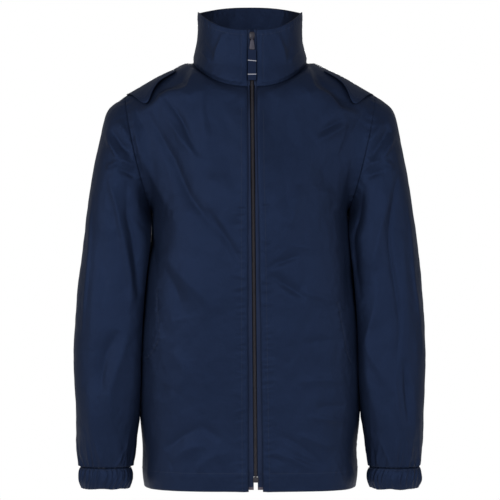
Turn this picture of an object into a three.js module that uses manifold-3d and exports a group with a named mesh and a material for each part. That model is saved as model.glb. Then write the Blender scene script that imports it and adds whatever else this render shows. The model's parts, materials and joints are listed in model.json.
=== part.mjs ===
// A lightweight windbreaker jacket in its worn shape, with no wearer: high stand collar, full-length zip,
// shoulder flaps, straight sleeves gathered into elastic cuffs, side-seam pockets and a plain turned-up hem.
// Millimetres, +Z up, front faces -Y, the wearer's left is +X. The origin is the centre of the neck, level
// with the points where the shoulder seams meet the collar. Each cloth piece is a wall built from a grid.
import * as THREE from "three";
import Module from "manifold-3d";
import { mergeGeometries, mergeVertices } from "three/addons/utils/BufferGeometryUtils.js";

const wasm = await Module();
wasm.setup();

// ---------------------------------------------------------------- driving dimensions
const WALL = 1.6; // cloth wall
const CASING_WALL = 2.6; // the doubled cloth of the turned-up hem
const SEAM = 0.3; // clearance between neighbouring pieces
const HEM_Z = -711; // bottom of the body
const HEM_CASING = 30; // depth of the turned-up hem
const UNDERARM_Z = -250; // bottom of the armhole
const SHOULDER = { neckX: 96, neckY: 4 }; // where the shoulder seam meets the neckline
const NECK = { frontY: -88, frontZ: -46, backY: 74, backZ: 12 }; // the neckline's lowest and highest points
const COLLAR = { half: 88, frontY: -78, frontZ: 49.5, sideZ: 86, backY: 76, backZ: 102, squareness: 0.82 };
const ZIP_LINE = { neckX: 3.4, hemX: 9.5 }; // the closed front runs a little off the middle
const FRONT_GAP = { neck: 7.4, hem: 11.6 }; // from the zip line to each front's edge
const ZIP = { tapeInner: 3.3, tapeUnder: 6.5, sink: 1.3, tape: 0.8 };
const CHAIN = { half: 2.8, depth: 2.4 };
const SLIDER = { z: 38.4, width: 9, height: 13, plate: 1.4, gap: 3.2, bridge: 5.2, lug: 1 };
const HINGE = { z: -4.5, reach: 2.6, barR: 0.8, boreR: 0.88 }; // the pull's rod, ahead of the slider's face
const PULL = { eyeR: 2.1, eyeWidth: 3, stem: 4.5, topWidth: 6, endWidth: 9, end: 19.5, thick: 1.6 };
const STRAP = { width: 14, start: 19.8, length: 51, thick: 2, corner: 2 };
const BOX = { low: -696, width: 9, height: 9, front: 0.9 }; // the chain ends in it, above the tapes' ends
const POCKET = { top: -386, bottom: -500, column: 5, wall: 1 }; // the bag's inner edge is on that column
const CUFF = { top: -677, bottom: -712, pleats: 16, pleat: 1.2, bulge: 3 };
const CUFF_LEVELS = [
  { height: 0, bulge: -0.6, pleat: 1 },
  { height: 0.35, bulge: 0.7, pleat: 1 },
  { height: 0.75, bulge: 1, pleat: 1 },
  { height: 1, bulge: 0, pleat: 0.3 },
];
const CLEAR = 2.4; // sleeve to body

// Body sections below the armhole: height, half width, and how far the front and the back reach.
const BODY_SECTIONS = [
  { z: -711, half: 178, front: -127, back: 118 },
  { z: -689, half: 181, front: -128, back: 118 },
  { z: -657, half: 180.5, front: -128, back: 117 },
  { z: -625, half: 182.5, front: -128, back: 116 },
  { z: -573, half: 186.5, front: -129, back: 115 },
  { z: -496, half: 186.5, front: -130, back: 113 },
  { z: -427, half: 182.5, front: -132, back: 112 },
  { z: -353, half: 174.5, front: -133, back: 113 },
  { z: -300, half: 167, front: -133, back: 115 },
  { z: -250, half: 163, front: -131, back: 116 },
];

// Centre lines of the front and the back from the underarm level up to the neckline.
const FRONT_CENTRE = [
  { z: -250, y: -131 },
  { z: -200, y: -129 },
  { z: -150, y: -122 },
  { z: -100, y: -109 },
  { z: -46, y: -88 },
];
const BACK_CENTRE = [
  { z: -250, y: 116 },
  { z: -180, y: 117 },
  { z: -120, y: 113 },
  { z: -60, y: 102 },
  { z: -20, y: 89 },
  { z: 12, y: 74 },
];

// Sleeve rings from the armhole down to the gathered end. Each lies in a plane through its outer and inner
// points, reaches forward to front and back to back, and is squarer the smaller its fullness.
const SLEEVE_RINGS = [
  { outX: 207, outZ: -57, inX: 163, inZ: -250, front: -66, back: 62, bow: 7, fullness: 0.85 },
  { outX: 223.5, outZ: -66, inX: 163.6, inZ: -252, front: -68, back: 64, bow: 5, fullness: 0.85 },
  { outX: 238, outZ: -79, inX: 164, inZ: -255, front: -70, back: 65, bow: 3, fullness: 0.85 },
  { outX: 246.5, outZ: -101, inX: 164, inZ: -259, front: -72, back: 66, bow: 2, fullness: 0.86 },
  { outX: 254.5, outZ: -137, inX: 163.5, inZ: -264, front: -74, back: 65, bow: 1, fullness: 0.87 },
  { outX: 262.7, outZ: -181, inX: 163, inZ: -270, front: -76, back: 62, bow: 0, fullness: 0.88 },
  { outX: 271.5, outZ: -236, inX: 162.5, inZ: -280, front: -77, back: 58, bow: 0, fullness: 0.9 },
  { outX: 279.5, outZ: -300, inX: 162.5, inZ: -300, front: -79, back: 52, bow: 0, fullness: 0.92 },
  { outX: 286.5, outZ: -360, inX: 167.5, inZ: -360, front: -83, back: 45, bow: 0, fullness: 0.94 },
  { outX: 291.5, outZ: -427, inX: 175, inZ: -427, front: -88, back: 37, bow: 0, fullness: 0.95 },
  { outX: 294, outZ: -490, inX: 179.5, inZ: -490, front: -91, back: 29, bow: 0, fullness: 0.95 },
  { outX: 292, outZ: -540, inX: 181, inZ: -540, front: -93, back: 22, bow: 0, fullness: 0.96 },
  { outX: 289.7, outZ: -585, inX: 183.5, inZ: -585, front: -94, back: 14, bow: 0, fullness: 0.97 },
  { outX: 288.2, outZ: -625, inX: 190, inZ: -625, front: -92, back: 6, bow: 0, fullness: 0.98 },
  { outX: 285.8, outZ: -655, inX: 194.5, inZ: -655, front: -88, back: -2, bow: 0, fullness: 1 },
  { outX: 282.3, outZ: -677, inX: 199.5, inZ: -677, front: -83, back: -12, bow: 0, fullness: 1 },
];

// The largest folds: from one end to the other across the front or the back, or along a sleeve. x is to the
// wearer's left, rise is the height of a ridge or, when negative, the depth of a trough.
const BODY_FOLDS = [
  { face: "front", x0: -147, z0: -66, x1: -96, z1: -134, width: 17, rise: -4.5 },
  { face: "front", x0: -150, z0: -110, x1: -50, z1: -245, width: 22, rise: 4 },
  { face: "front", x0: -60, z0: -270, x1: -14, z1: -350, width: 17, rise: -4.5 },
  { face: "front", x0: -120, z0: -250, x1: -45, z1: -420, width: 24, rise: 3.5 },
  { face: "front", x0: 137, z0: -108, x1: 86, z1: -140, width: 16, rise: -4 },
  { face: "front", x0: 140, z0: -150, x1: 75, z1: -330, width: 24, rise: 4 },
  { face: "front", x0: 60, z0: -370, x1: 97, z1: -402, width: 17, rise: -4 },
  { face: "front", x0: 40, z0: -648, x1: 148, z1: -668, width: 18, rise: -3.5 },
  { face: "back", x0: -120, z0: -95, x1: -40, z1: -235, width: 22, rise: 4 },
  { face: "back", x0: 112, z0: -110, x1: 52, z1: -275, width: 24, rise: 4 },
  { face: "back", x0: -70, z0: -380, x1: -20, z1: -560, width: 26, rise: -4 },
  { face: "back", x0: 60, z0: -330, x1: 95, z1: -500, width: 24, rise: -3.5 },
];
const SLEEVE_FOLDS = [
  { hand: -1, face: "front", x0: 238, z0: -185, x1: 210, z1: -310, width: 14, rise: 4 },
  { hand: -1, face: "front", x0: 208, z0: -350, x1: 240, z1: -560, width: 16, rise: 4 },
  { hand: -1, face: "front", x0: 213, z0: -150, x1: 236, z1: -235, width: 14, rise: -4 },
  { hand: -1, face: "back", x0: 235, z0: -180, x1: 205, z1: -330, width: 16, rise: 4 },
  { hand: -1, face: "back", x0: 215, z0: -400, x1: 250, z1: -560, width: 16, rise: -4 },
  { hand: 1, face: "front", x0: 234, z0: -215, x1: 210, z1: -390, width: 14, rise: 4 },
  { hand: 1, face: "front", x0: 244, z0: -290, x1: 250, z1: -450, width: 14, rise: 3.5 },
  { hand: 1, face: "front", x0: 209, z0: -415, x1: 232, z1: -590, width: 15, rise: 4 },
  { hand: 1, face: "back", x0: 240, z0: -200, x1: 212, z1: -350, width: 16, rise: 4 },
  { hand: 1, face: "back", x0: 212, z0: -430, x1: 244, z1: -570, width: 16, rise: -4 },
];

// The shoulder flap, by columns of the front panel's grid: how many rows its free edge falls below the
// shoulder seam, and how far that edge stands off the front.
const FLAP_SECTIONS = [
  { column: 2, fall: 1.5, lift: 3 },
  { column: 3, fall: 1.8, lift: 5 },
  { column: 4, fall: 2.1, lift: 6 },
  { column: 5, fall: 2.8, lift: 6 },
  { column: 6, fall: 3.3, lift: 5 },
  { column: 7, fall: 1.9, lift: 4 },
  { column: 7.9, fall: 0.5, lift: 2 },
];
const FLAP_BASE = 0.5; // more clearance where the flap bends over the seam
const FLAP_STEPS = [-0.75, 0, 0.34, 0.67, 1]; // rows behind the seam, then shares of each column's fall

// Grid lines of the body. The first upper rows start on the centre line, the others on the neckline.
const LOWER_LEVELS = [-711, -697, -681, -645, -608, -570, -535, -500, -462, -424, -386, -342, -298, -250];
const UPPER_ROWS = 12;
const NECK_ROW = { front: 5, back: 7 };
const BODY_COLUMNS = 8;
const RING_COLUMNS = 2 * UPPER_ROWS;
const COLLAR_ROWS = 5;
const SETTLE = { passes: 10, below: 4, above: 5, share: 0.5 };

const COLOURS = { cloth: 0x1c263c, tape: 0x151a26, metal: 0x2c2a30, strap: 0x1f2942 };

// ---------------------------------------------------------------- curves and tables
const v3 = (x, y, z) => new THREE.Vector3(x, y, z);
const mix = (a, b, t) => a + (b - a) * t;
const clamp = THREE.MathUtils.clamp;
const rad = THREE.MathUtils.degToRad;

// A smooth value of one column of a table at a height, from rows ordered by z.
function tableAt(table, column, z) {
  const rising = table[0].z < table[table.length - 1].z;
  const row = (k) => table[clamp(rising ? k : table.length - 1 - k, 0, table.length - 1)];
  let i = 1;
  while (i < table.length - 1 && row(i).z < z) i++;
  const [a, b] = [row(i - 1), row(i)];
  const step = b.z - a.z;
  const t = clamp((z - a.z) / step, 0, 1);
  const slope = (k) => {
    const run = Math.max(row(k + 1).z - row(k - 1).z, 1);
    return (row(k + 1)[column] - row(k - 1)[column]) / run;
  };
  const ma = (i > 1 ? slope(i - 1) : (b[column] - a[column]) / step) * step;
  const mb = (i < table.length - 1 ? slope(i) : (b[column] - a[column]) / step) * step;
  const [t2, t3] = [t * t, t * t * t];
  const ends = (2 * t3 - 3 * t2 + 1) * a[column] + (3 * t2 - 2 * t3) * b[column];
  return ends + (t3 - 2 * t2 + t) * ma + (t3 - t2) * mb;
}

// Where the closed front runs, as x at a height, and how far from it the fronts' edges are.
const downZip = (z) => clamp((NECK.frontZ - z) / (NECK.frontZ - HEM_Z), 0, 1);
const zipX = (z) => mix(ZIP_LINE.neckX, ZIP_LINE.hemX, downZip(z));
const halfGap = (z) => mix(FRONT_GAP.neck, FRONT_GAP.hem, downZip(z));

// The inner edge of a panel: the zip edge of a front, the middle of the back.
const centreX = (side, hand, z) => (side === "front" ? hand * zipX(z) + halfGap(z) : 0);

// The neckline on one half. turn is 0 at the centre and 1 at the shoulder seam.
function neckline(side, hand, turn) {
  const a = (turn * Math.PI) / 2;
  const [endY, endZ] = side === "front" ? [NECK.frontY, NECK.frontZ] : [NECK.backY, NECK.backZ];
  const startX = centreX(side, hand, endZ);
  return v3(
    startX + (SHOULDER.neckX - startX) * Math.sin(a) ** 0.92,
    SHOULDER.neckY + (endY - SHOULDER.neckY) * Math.cos(a) ** 0.9,
    endZ * Math.cos(a) ** 1.5,
  );
}

// A ring of a sleeve. angle is 0 on the inner side under the arm, and half a turn later it is outside.
function ringPoint(ring, angle) {
  const up = (1 - Math.cos(angle)) / 2;
  const across = Math.abs(Math.sin(angle)) ** ring.fullness;
  const middle = (ring.front + ring.back) / 2;
  const reach = Math.sin(angle) > 0 ? ring.front : ring.back;
  const [dx, dz] = [ring.outX - ring.inX, ring.outZ - ring.inZ];
  const out = (ring.bow * Math.abs(Math.sin(angle))) / Math.hypot(dx, dz);
  const y = middle + (reach - middle) * across;
  return v3(ring.inX + dx * up + dz * out, y, ring.inZ + dz * up - dx * out);
}

// The armhole. rise is 0 at the underarm and 1 at the shoulder point, where front and back meet.
const armhole = (side, rise) => ringPoint(SLEEVE_RINGS[0], Math.PI * (side === "front" ? rise : 2 - rise));
const UNDERARM = armhole("front", 0);

// One row of a body panel, from its inner edge to the side seam, or above the underarm to the armhole.
// Below the underarm the row is level at z and rise is 0.
function bodyRow(side, hand, z, rise) {
  const sign = side === "front" ? 1 : -1;
  if (rise <= 0) {
    const [half, reach] = [tableAt(BODY_SECTIONS, "half", z), tableAt(BODY_SECTIONS, side, z)];
    const x = centreX(side, hand, z);
    const seamY = UNDERARM.y - (sign * SEAM) / 2;
    const handles = [v3(mix(x, half, 0.63), reach, z), v3(half, mix(seamY, reach, 0.6), z)];
    return [v3(x, reach, z), ...handles, v3(half, seamY, z)];
  }
  const neckRise = NECK_ROW[side] / UPPER_ROWS;
  const neckZ = side === "front" ? NECK.frontZ : NECK.backZ;
  const end = armhole(side, rise);
  end.y -= (sign * SEAM) / 2;
  let start;
  const startWay = v3(1, 0, 0);
  if (rise <= neckRise) {
    const level = mix(UNDERARM_Z, neckZ, (1 - Math.cos(rise * Math.PI)) / (1 - Math.cos(neckRise * Math.PI)));
    const centre = side === "front" ? FRONT_CENTRE : BACK_CENTRE;
    start = v3(centreX(side, hand, level), tableAt(centre, "y", level), level);
  } else {
    const turn = (rise - neckRise) / (1 - neckRise);
    start = neckline(side, hand, turn);
    start.y -= (sign * SEAM * turn) / 2;
    startWay.set(1, -0.25 * sign * Math.sin(turn * Math.PI), -0.32 * turn);
  }
  const heading = rad(88) * (1 - rise) ** 1.5;
  const fall = rad(-34) * rise;
  const flat = Math.cos(fall);
  const endWay = v3(Math.cos(heading) * flat, sign * Math.sin(heading) * flat, Math.sin(fall));
  const span = start.distanceTo(end);
  const startHandle = start.clone().addScaledVector(startWay.normalize(), span * mix(0.47, 0.34, rise));
  const endHandle = end.clone().addScaledVector(endWay, -span * mix(0.385, 0.33, rise));
  return [start, startHandle, endHandle, end];
}

const bezier = (row, t) => new THREE.CubicBezierCurve3(...row).getPoint(t);

// How far out the body reaches sideways at a depth y and a height below the underarm.
function bodySideX(y, z) {
  const row = bodyRow(y < UNDERARM.y ? "front" : "back", 1, z, 0);
  let [low, high] = [0, 1];
  for (let i = 0; i < 24; i++) {
    const t = (low + high) / 2;
    if (Math.abs(bezier(row, t).y) > Math.abs(y)) low = t;
    else high = t;
  }
  return bezier(row, low).x;
}

// The height of the folds at a point on a face of the body or of one sleeve.
function foldRise(folds, face, hand, p) {
  let rise = 0;
  for (const fold of folds) {
    if (fold.face !== face || (fold.hand ?? hand) !== hand) continue;
    const [dx, dz] = [fold.x1 - fold.x0, fold.z1 - fold.z0];
    const x = (fold.hand ? 1 : hand) * p.x;
    const along = ((x - fold.x0) * dx + (p.z - fold.z0) * dz) / (dx * dx + dz * dz);
    const off = ((x - fold.x0) * dz - (p.z - fold.z0) * dx) / Math.hypot(dx, dz);
    const taper = Math.sin(Math.PI * clamp((along + 0.15) / 1.3, 0, 1)) ** 0.7;
    rise += fold.rise * taper * Math.exp(-((off / fold.width) ** 2));
  }
  return rise;
}

// ---------------------------------------------------------------- walls
// Outward normals of a grid whose rows run upward and whose columns run anticlockwise seen from above.
function gridNormals(grid, wrap) {
  const [rows, cols] = [grid.length, grid[0].length];
  const col = (i) => (wrap ? (i + cols) % cols : clamp(i, 0, cols - 1));
  const at = (j, i) => grid[clamp(j, 0, rows - 1)][col(i)];
  return grid.map((line, j) =>
    line.map((_, i) => {
      const along = at(j, i + 1).clone().sub(at(j, i - 1));
      const up = at(j + 1, i).clone().sub(at(j - 1, i));
      return along.cross(up).normalize();
    }),
  );
}

const flipX = (p) => v3(-p.x, p.y, p.z);
const flipGrid = (grid) => grid.map((line) => line.map(flipX).reverse());
const shifted = (grid, normals, by) =>
  grid.map((line, j) => line.map((p, i) => p.clone().addScaledVector(normals[j][i], by(j, i))));

// A closed cloth wall from a grid of points on its face. It lies between two distances out from them, and has
// rims along its open edges. hand -1 puts it on the other side of the body. joined gives the rows, from the
// lowest, over which the first or the last column meets another wall and has no rim.
function wallGeometry({ grid, normals, near, far, hand = 1, wrap = false, joined = {} }) {
  const layers = [far, near].map((by) => shifted(grid, normals, typeof by === "function" ? by : () => by));
  const [outer, inner] = hand > 0 ? layers : layers.map(flipGrid);
  const [rows, cols] = [outer.length, outer[0].length];
  const id = (layer, j, i) => (layer * rows + j) * cols + (i % cols);
  const index = [];
  const quad = (a, b, c, d) => index.push(a, b, c, a, c, d);
  const last = wrap ? cols : cols - 1;
  for (let i = 0; i < last; i++) {
    for (let j = 0; j < rows - 1; j++) {
      quad(id(0, j, i), id(0, j, i + 1), id(0, j + 1, i + 1), id(0, j + 1, i));
      quad(id(1, j, i), id(1, j + 1, i), id(1, j + 1, i + 1), id(1, j, i + 1));
    }
    quad(id(1, 0, i), id(1, 0, i + 1), id(0, 0, i + 1), id(0, 0, i));
    quad(id(0, rows - 1, i), id(0, rows - 1, i + 1), id(1, rows - 1, i + 1), id(1, rows - 1, i));
  }
  for (let j = 0; j < (wrap ? 0 : rows - 1); j++) {
    const rims = [["first", 0, 0], ["last", cols - 1, 1]].filter(([key]) => j >= (joined[key] ?? 0));
    for (const [, i, k] of rims) quad(id(k, j, i), id(k, j + 1, i), id(1 - k, j + 1, i), id(1 - k, j, i));
  }
  const geometry = new THREE.BufferGeometry();
  const positions = [...outer.flat(), ...inner.flat()].flatMap((p) => p.toArray());
  geometry.setAttribute("position", new THREE.Float32BufferAttribute(positions, 3));
  geometry.setIndex(index);
  return geometry;
}

// ---------------------------------------------------------------- body panels
// Normals at the armhole: they turn from level at the underarm to square with the armhole's plane at the
// shoulder. way is 1 for the body and -1 for the sleeve, whose walls lie on opposite sides of that plane.
function armholeNormal(side, rise, way) {
  const ring = SLEEVE_RINGS[0];
  const plane = v3(ring.outZ - ring.inZ, 0, ring.inX - ring.outX).normalize();
  const step = armhole(side, Math.min(rise + 0.02, 1)).sub(armhole(side, Math.max(rise - 0.02, 0)));
  const square = plane.clone().cross(step.multiplyScalar(side === "front" ? 1 : -1)).normalize();
  if (rise > 0.99) square.set(-plane.z, 0, plane.x);
  const share = Math.sin((rise * Math.PI) / 2) ** 0.6;
  return square.multiplyScalar(share).addScaledVector(plane, way * (1 - share)).normalize();
}

// Evens out a half panel across the underarm level, where its lower and upper rows meet. Its edges stay put.
function settle(grid) {
  const level = LOWER_LEVELS.length - 1;
  for (let pass = 0; pass < SETTLE.passes; pass++) {
    const before = grid.map((line) => line.map((p) => p.clone()));
    for (let j = level - SETTLE.below; j <= level + SETTLE.above; j++) {
      for (let i = 1; i < BODY_COLUMNS; i++) {
        const [low, high, p] = [before[j - 1][i], before[j + 1][i], grid[j][i]];
        const even = low.clone().lerp(high, (p.z - low.z) / (high.z - low.z));
        const share = SETTLE.share * Math.sin((Math.PI * i) / BODY_COLUMNS) ** 0.5;
        p.set(mix(p.x, even.x, share), mix(p.y, even.y, share), p.z);
      }
    }
  }
}

// One half of the front or the back, its columns running from the middle outward.
function bodyHalf(side, hand) {
  const rows = LOWER_LEVELS.map((z) => ({ z, rise: 0 }));
  for (let k = 1; k <= UPPER_ROWS; k++) rows.push({ z: 0, rise: k / UPPER_ROWS });
  const columns = Array.from({ length: BODY_COLUMNS + 1 }, (_, i) => i / BODY_COLUMNS);
  const grid = rows.map(({ z, rise }) => columns.map((t) => bezier(bodyRow(side, hand, z, rise), t)));
  settle(grid);
  const normals = gridNormals(grid, false);
  rows.forEach(({ rise }, j) =>
    normals[j].forEach((n, i) => {
      n.multiplyScalar(side === "front" ? 1 : -1);
      if (i === 0 && rise <= NECK_ROW[side] / UPPER_ROWS) n.x = 0;
      if (i === BODY_COLUMNS && rise > 0) n.copy(armholeNormal(side, rise, 1));
      if ((i === BODY_COLUMNS && rise === 0) || rise === 1) n.y = 0;
      n.normalize();
      const inside = j > 0 && rise < 1 && i < BODY_COLUMNS && (i > 0 || side === "back");
      if (inside) grid[j][i].addScaledVector(n, foldRise(BODY_FOLDS, side, hand, grid[j][i]));
    }),
  );
  return { grid, normals };
}

const fronts = { left: bodyHalf("front", 1), right: bodyHalf("front", -1) };
const backs = { left: bodyHalf("back", 1), right: bodyHalf("back", -1) };

// The lowest rows have the doubled cloth of the hem.
const panelNear = (j) => (LOWER_LEVELS[j] < HEM_Z + HEM_CASING - 1 ? -CASING_WALL : -WALL);

// The whole back: two halves joined down the middle, from the neckline to the hem.
function backGeometry() {
  const reversed = (grid) => grid.map((line) => [...line].reverse());
  const joinedRows = LOWER_LEVELS.length - 1 + NECK_ROW.back;
  const halves = [["left", 1, "last"], ["right", -1, "first"]].map(([word, hand, middle]) => {
    const [grid, normals] = [reversed(backs[word].grid), reversed(backs[word].normals)];
    const joined = { [middle]: joinedRows };
    return wallGeometry({ grid, normals, near: panelNear, far: 0, hand, joined });
  });
  return mergeVertices(mergeGeometries(halves), 1e-3);
}

// ---------------------------------------------------------------- sleeves and cuffs
// A sleeve's rings from the cuff up, kept clear of the body, with its folds.
function sleeveGrid(hand) {
  const angles = Array.from({ length: RING_COLUMNS }, (_, i) => (2 * Math.PI * i) / RING_COLUMNS);
  const rings = [...SLEEVE_RINGS].reverse();
  const grid = rings.map((ring) => angles.map((angle) => ringPoint(ring, angle)));
  const top = rings.length - 1;
  const plane = armholeNormal("front", 0, 1);
  grid[top].forEach((p) => p.addScaledVector(plane, SEAM));
  const normals = gridNormals(grid, true);
  angles.forEach((angle, i) => {
    const [side, rise] = angle <= Math.PI ? ["front", angle / Math.PI] : ["back", 2 - angle / Math.PI];
    normals[top][i] = armholeNormal(side, rise, -1);
    for (let j = 1; j < top; j++) {
      const face = Math.sin(angle) > 0 ? "front" : "back";
      const weight = Math.abs(Math.sin(angle));
      const p = grid[j][i];
      p.addScaledVector(normals[j][i], weight * foldRise(SLEEVE_FOLDS, face, hand, p));
    }
    for (let j = 0; j < top; j++) {
      const p = grid[j][i];
      if (p.z < UNDERARM.z) p.x = Math.max(p.x, bodySideX(p.y, Math.max(p.z, HEM_Z)) + CLEAR);
    }
  });
  return { grid, normals };
}

// The gathered cuff: narrow pleats all round, fullest half way down.
function cuffGrid() {
  const { outX, inX, front, back, ...rest } = SLEEVE_RINGS[SLEEVE_RINGS.length - 1];
  const count = 2 * CUFF.pleats;
  const grid = CUFF_LEVELS.map(({ height, bulge, pleat }) =>
    Array.from({ length: count }, (_, i) => {
      const out = CUFF.bulge * bulge + CUFF.pleat * pleat * (i % 2 ? 1 : -1);
      const grown = { ...rest, outX: outX + out, inX: inX - out, front: front - out, back: back + out };
      const p = ringPoint(grown, (2 * Math.PI * i) / count);
      return v3(p.x, p.y, mix(CUFF.bottom, CUFF.top, height) - SEAM);
    }),
  );
  return { grid, normals: gridNormals(grid, true) };
}

// ---------------------------------------------------------------- collar
// A point of the collar above a point of the neckline. height is 0 at the neckline and 1 at the top edge.
function collarPoint({ side, turn, hand }, height) {
  const a = ((side === "front" ? turn : 2 - turn) * Math.PI) / 2;
  const foot = neckline(side, hand, turn);
  const [reach, rim] = side === "front" ? [COLLAR.frontY, COLLAR.frontZ] : [COLLAR.backY, COLLAR.backZ];
  const x0 = centreX(side, hand, 0);
  const round = COLLAR.squareness;
  const top = v3(
    x0 + (COLLAR.half - x0) * Math.sin(a) ** round,
    SHOULDER.neckY + (reach - SHOULDER.neckY) * Math.abs(Math.cos(a)) ** round,
    mix(COLLAR.sideZ, rim, Math.abs(Math.cos(a)) ** 1.6),
  );
  const steep = 1 - (1 - height) ** 3; // the sides come in early and then stand up
  const x = mix(foot.x, top.x, mix(height, steep, Math.sin(a)));
  return v3(hand * x, mix(foot.y, top.y, height), mix(foot.z + SEAM, top.z, height));
}

function collarGrid() {
  const heights = Array.from({ length: COLLAR_ROWS + 1 }, (_, j) => j / COLLAR_ROWS);
  const half = (hand) => {
    const [ahead, behind] = [UPPER_ROWS - NECK_ROW.front, UPPER_ROWS - NECK_ROW.back];
    const front = Array.from({ length: ahead }, (_, i) => ({ side: "front", turn: i / ahead, hand }));
    const back = Array.from({ length: behind + 1 }, (_, i) => ({ side: "back", turn: 1 - i / behind, hand }));
    return [...front, ...back];
  };
  const places = [...half(1), ...half(-1).reverse().slice(1)];
  const grid = heights.map((h) => places.map((place) => collarPoint(place, h)));
  const normals = gridNormals(grid, false);
  normals[0].forEach((n) => n.setZ(0).normalize());
  return { grid, normals };
}

const collar = collarGrid();

// ---------------------------------------------------------------- pieces that lie on a panel
// The shoulder flap: sewn just behind the shoulder seam, over it, and then free along the front.
function flapWall(hand) {
  const front = hand > 0 ? fronts.left : fronts.right;
  const back = hand > 0 ? backs.left : backs.right;
  const seamRow = LOWER_LEVELS.length - 1 + UPPER_ROWS;
  const between = (rows, row, column) => {
    const low = Math.min(Math.floor(row), seamRow - 1);
    const first = Math.min(Math.floor(column), BODY_COLUMNS - 1);
    const across = (line) => line[first].clone().lerp(line[first + 1], column - first);
    return across(rows[low]).lerp(across(rows[low + 1]), row - low);
  };
  const steps = [...FLAP_STEPS].reverse();
  const pick = (key) =>
    steps.map((step) =>
      FLAP_SECTIONS.map(({ column, fall }) => {
        const half = step < 0 ? back : front;
        const p = between(half[key], seamRow - (step < 0 ? -step : step * fall), column);
        return step === 0 && key === "grid" ? p.setY(p.y + SEAM / 2) : p;
      }),
    );
  const normals = pick("normals").map((line) => line.map((n) => n.normalize()));
  const near = (j, i) => SEAM + FLAP_SECTIONS[i].lift * Math.max(steps[j], 0) ** 0.8 + FLAP_BASE;
  return { grid: pick("grid"), normals, near, far: (j, i) => near(j, i) + WALL, hand };
}

// The pocket bag: flat behind the front, open at the side seam.
function pocketWall(hand) {
  const { grid, normals } = hand > 0 ? fronts.left : fronts.right;
  const [low, high] = [LOWER_LEVELS.indexOf(POCKET.bottom), LOWER_LEVELS.indexOf(POCKET.top)];
  const part = (rows) => rows.slice(low, high + 1).map((line) => line.slice(POCKET.column));
  const far = -(WALL + SEAM);
  return { grid: part(grid), normals: part(normals), near: far - POCKET.wall, far, hand };
}

// ---------------------------------------------------------------- zip
// Points along one zip tape: its inner edge beside the chain, its outer edge under the front and the collar.
function tapeWall(hand) {
  const front = hand > 0 ? fronts.left : fronts.right;
  const edgeRows = LOWER_LEVELS.length + NECK_ROW.front;
  const last = collar.grid[0].length - 1;
  const collarColumns = hand > 0 ? [0, 1] : [last, last - 1];
  const own = (p) => (hand > 0 ? p.clone() : flipX(p));
  const [grid, normals] = [[], []];
  const addRow = (edge, next, normal, wall) => {
    const way = next.clone().sub(edge).normalize();
    const sunk = edge.clone().addScaledVector(normal, -(wall + ZIP.sink + ZIP.tape / 2));
    const edges = [ZIP.tapeInner - halfGap(edge.z), ZIP.tapeUnder];
    grid.push(edges.map((by) => sunk.clone().addScaledVector(way, by)));
    normals.push([normal, normal]);
  };
  for (let j = 0; j < edgeRows; j++) {
    addRow(front.grid[j][0], front.grid[j][1], front.normals[j][0], -panelNear(j));
  }
  for (let j = 1; j <= COLLAR_ROWS; j++) {
    const [edge, next] = collarColumns.map((i) => own(collar.grid[j][i]));
    addRow(edge, next, own(collar.normals[j][collarColumns[0]]), WALL);
  }
  return { grid, normals, near: -ZIP.tape / 2, far: ZIP.tape / 2, hand };
}

// The middle of the closed zip, half way between the tapes' inner edges, from its lower end up.
function zipLine() {
  const right = tapeWall(-1).grid;
  return tapeWall(1).grid.map(([p], j) => p.clone().lerp(flipX(right[j][0]), 0.5));
}

// The chain of teeth, from just above the box to the slider's foot.
function chainWall() {
  const line = zipLine().slice(1);
  const last = line.length - 1;
  const trim = (end, next, z) => line[end].lerp(line[next], (line[end].z - z) / (line[end].z - line[next].z));
  trim(0, 1, BOX.low + BOX.height + SEAM);
  trim(last, last - 1, SLIDER.z - 1.5);
  const grid = line.map((p) => [-1, 1].map((way) => p.clone().add(v3(way * CHAIN.half, 0, 0))));
  const normals = grid.map((pair) => pair.map(() => v3(0, -1, 0)));
  return { grid, normals, near: -CHAIN.depth / 2, far: CHAIN.depth / 2 };
}

// ---------------------------------------------------------------- hard pieces
function toSolid(geometry) {
  const g = geometry.clone();
  for (const name of Object.keys(g.attributes)) if (name !== "position") g.deleteAttribute(name);
  const merged = mergeVertices(g, 1e-4);
  const vertProperties = new Float32Array(merged.attributes.position.array);
  const triVerts = new Uint32Array(merged.index.array);
  return new wasm.Manifold(new wasm.Mesh({ numProp: 3, vertProperties, triVerts }));
}

function fromSolid(solid) {
  const mesh = solid.getMesh();
  const geometry = new THREE.BufferGeometry();
  geometry.setAttribute("position", new THREE.Float32BufferAttribute(mesh.vertProperties, 3));
  geometry.setIndex([...mesh.triVerts]);
  return geometry;
}

// A box between two corners, and a rod along X.
function boxSolid([x0, y0, z0], [x1, y1, z1]) {
  const box = new THREE.BoxGeometry(x1 - x0, y1 - y0, z1 - z0);
  return toSolid(box.translate((x0 + x1) / 2, (y0 + y1) / 2, (z0 + z1) / 2));
}
function rodSolid(radius, half, y, z) {
  const rod = new THREE.CylinderGeometry(radius, radius, 2 * half, 32);
  return toSolid(rod.rotateZ(Math.PI / 2).translate(0, y, z));
}

// A closed outline from its half on the +X side.
const bothSides = (half) => [...half, ...[...half].reverse().map(([x, z]) => [-x, z])];

// A flat plate facing -Y from an outline of x and z, its middle at a depth y.
function plate(outline, thick, y) {
  const shape = new THREE.Shape(outline.map(([x, z]) => new THREE.Vector2(x, z)));
  const geometry = new THREE.ExtrudeGeometry(shape, { depth: thick, bevelEnabled: false });
  return geometry.rotateX(Math.PI / 2).translate(0, y + thick / 2, 0);
}

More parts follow.
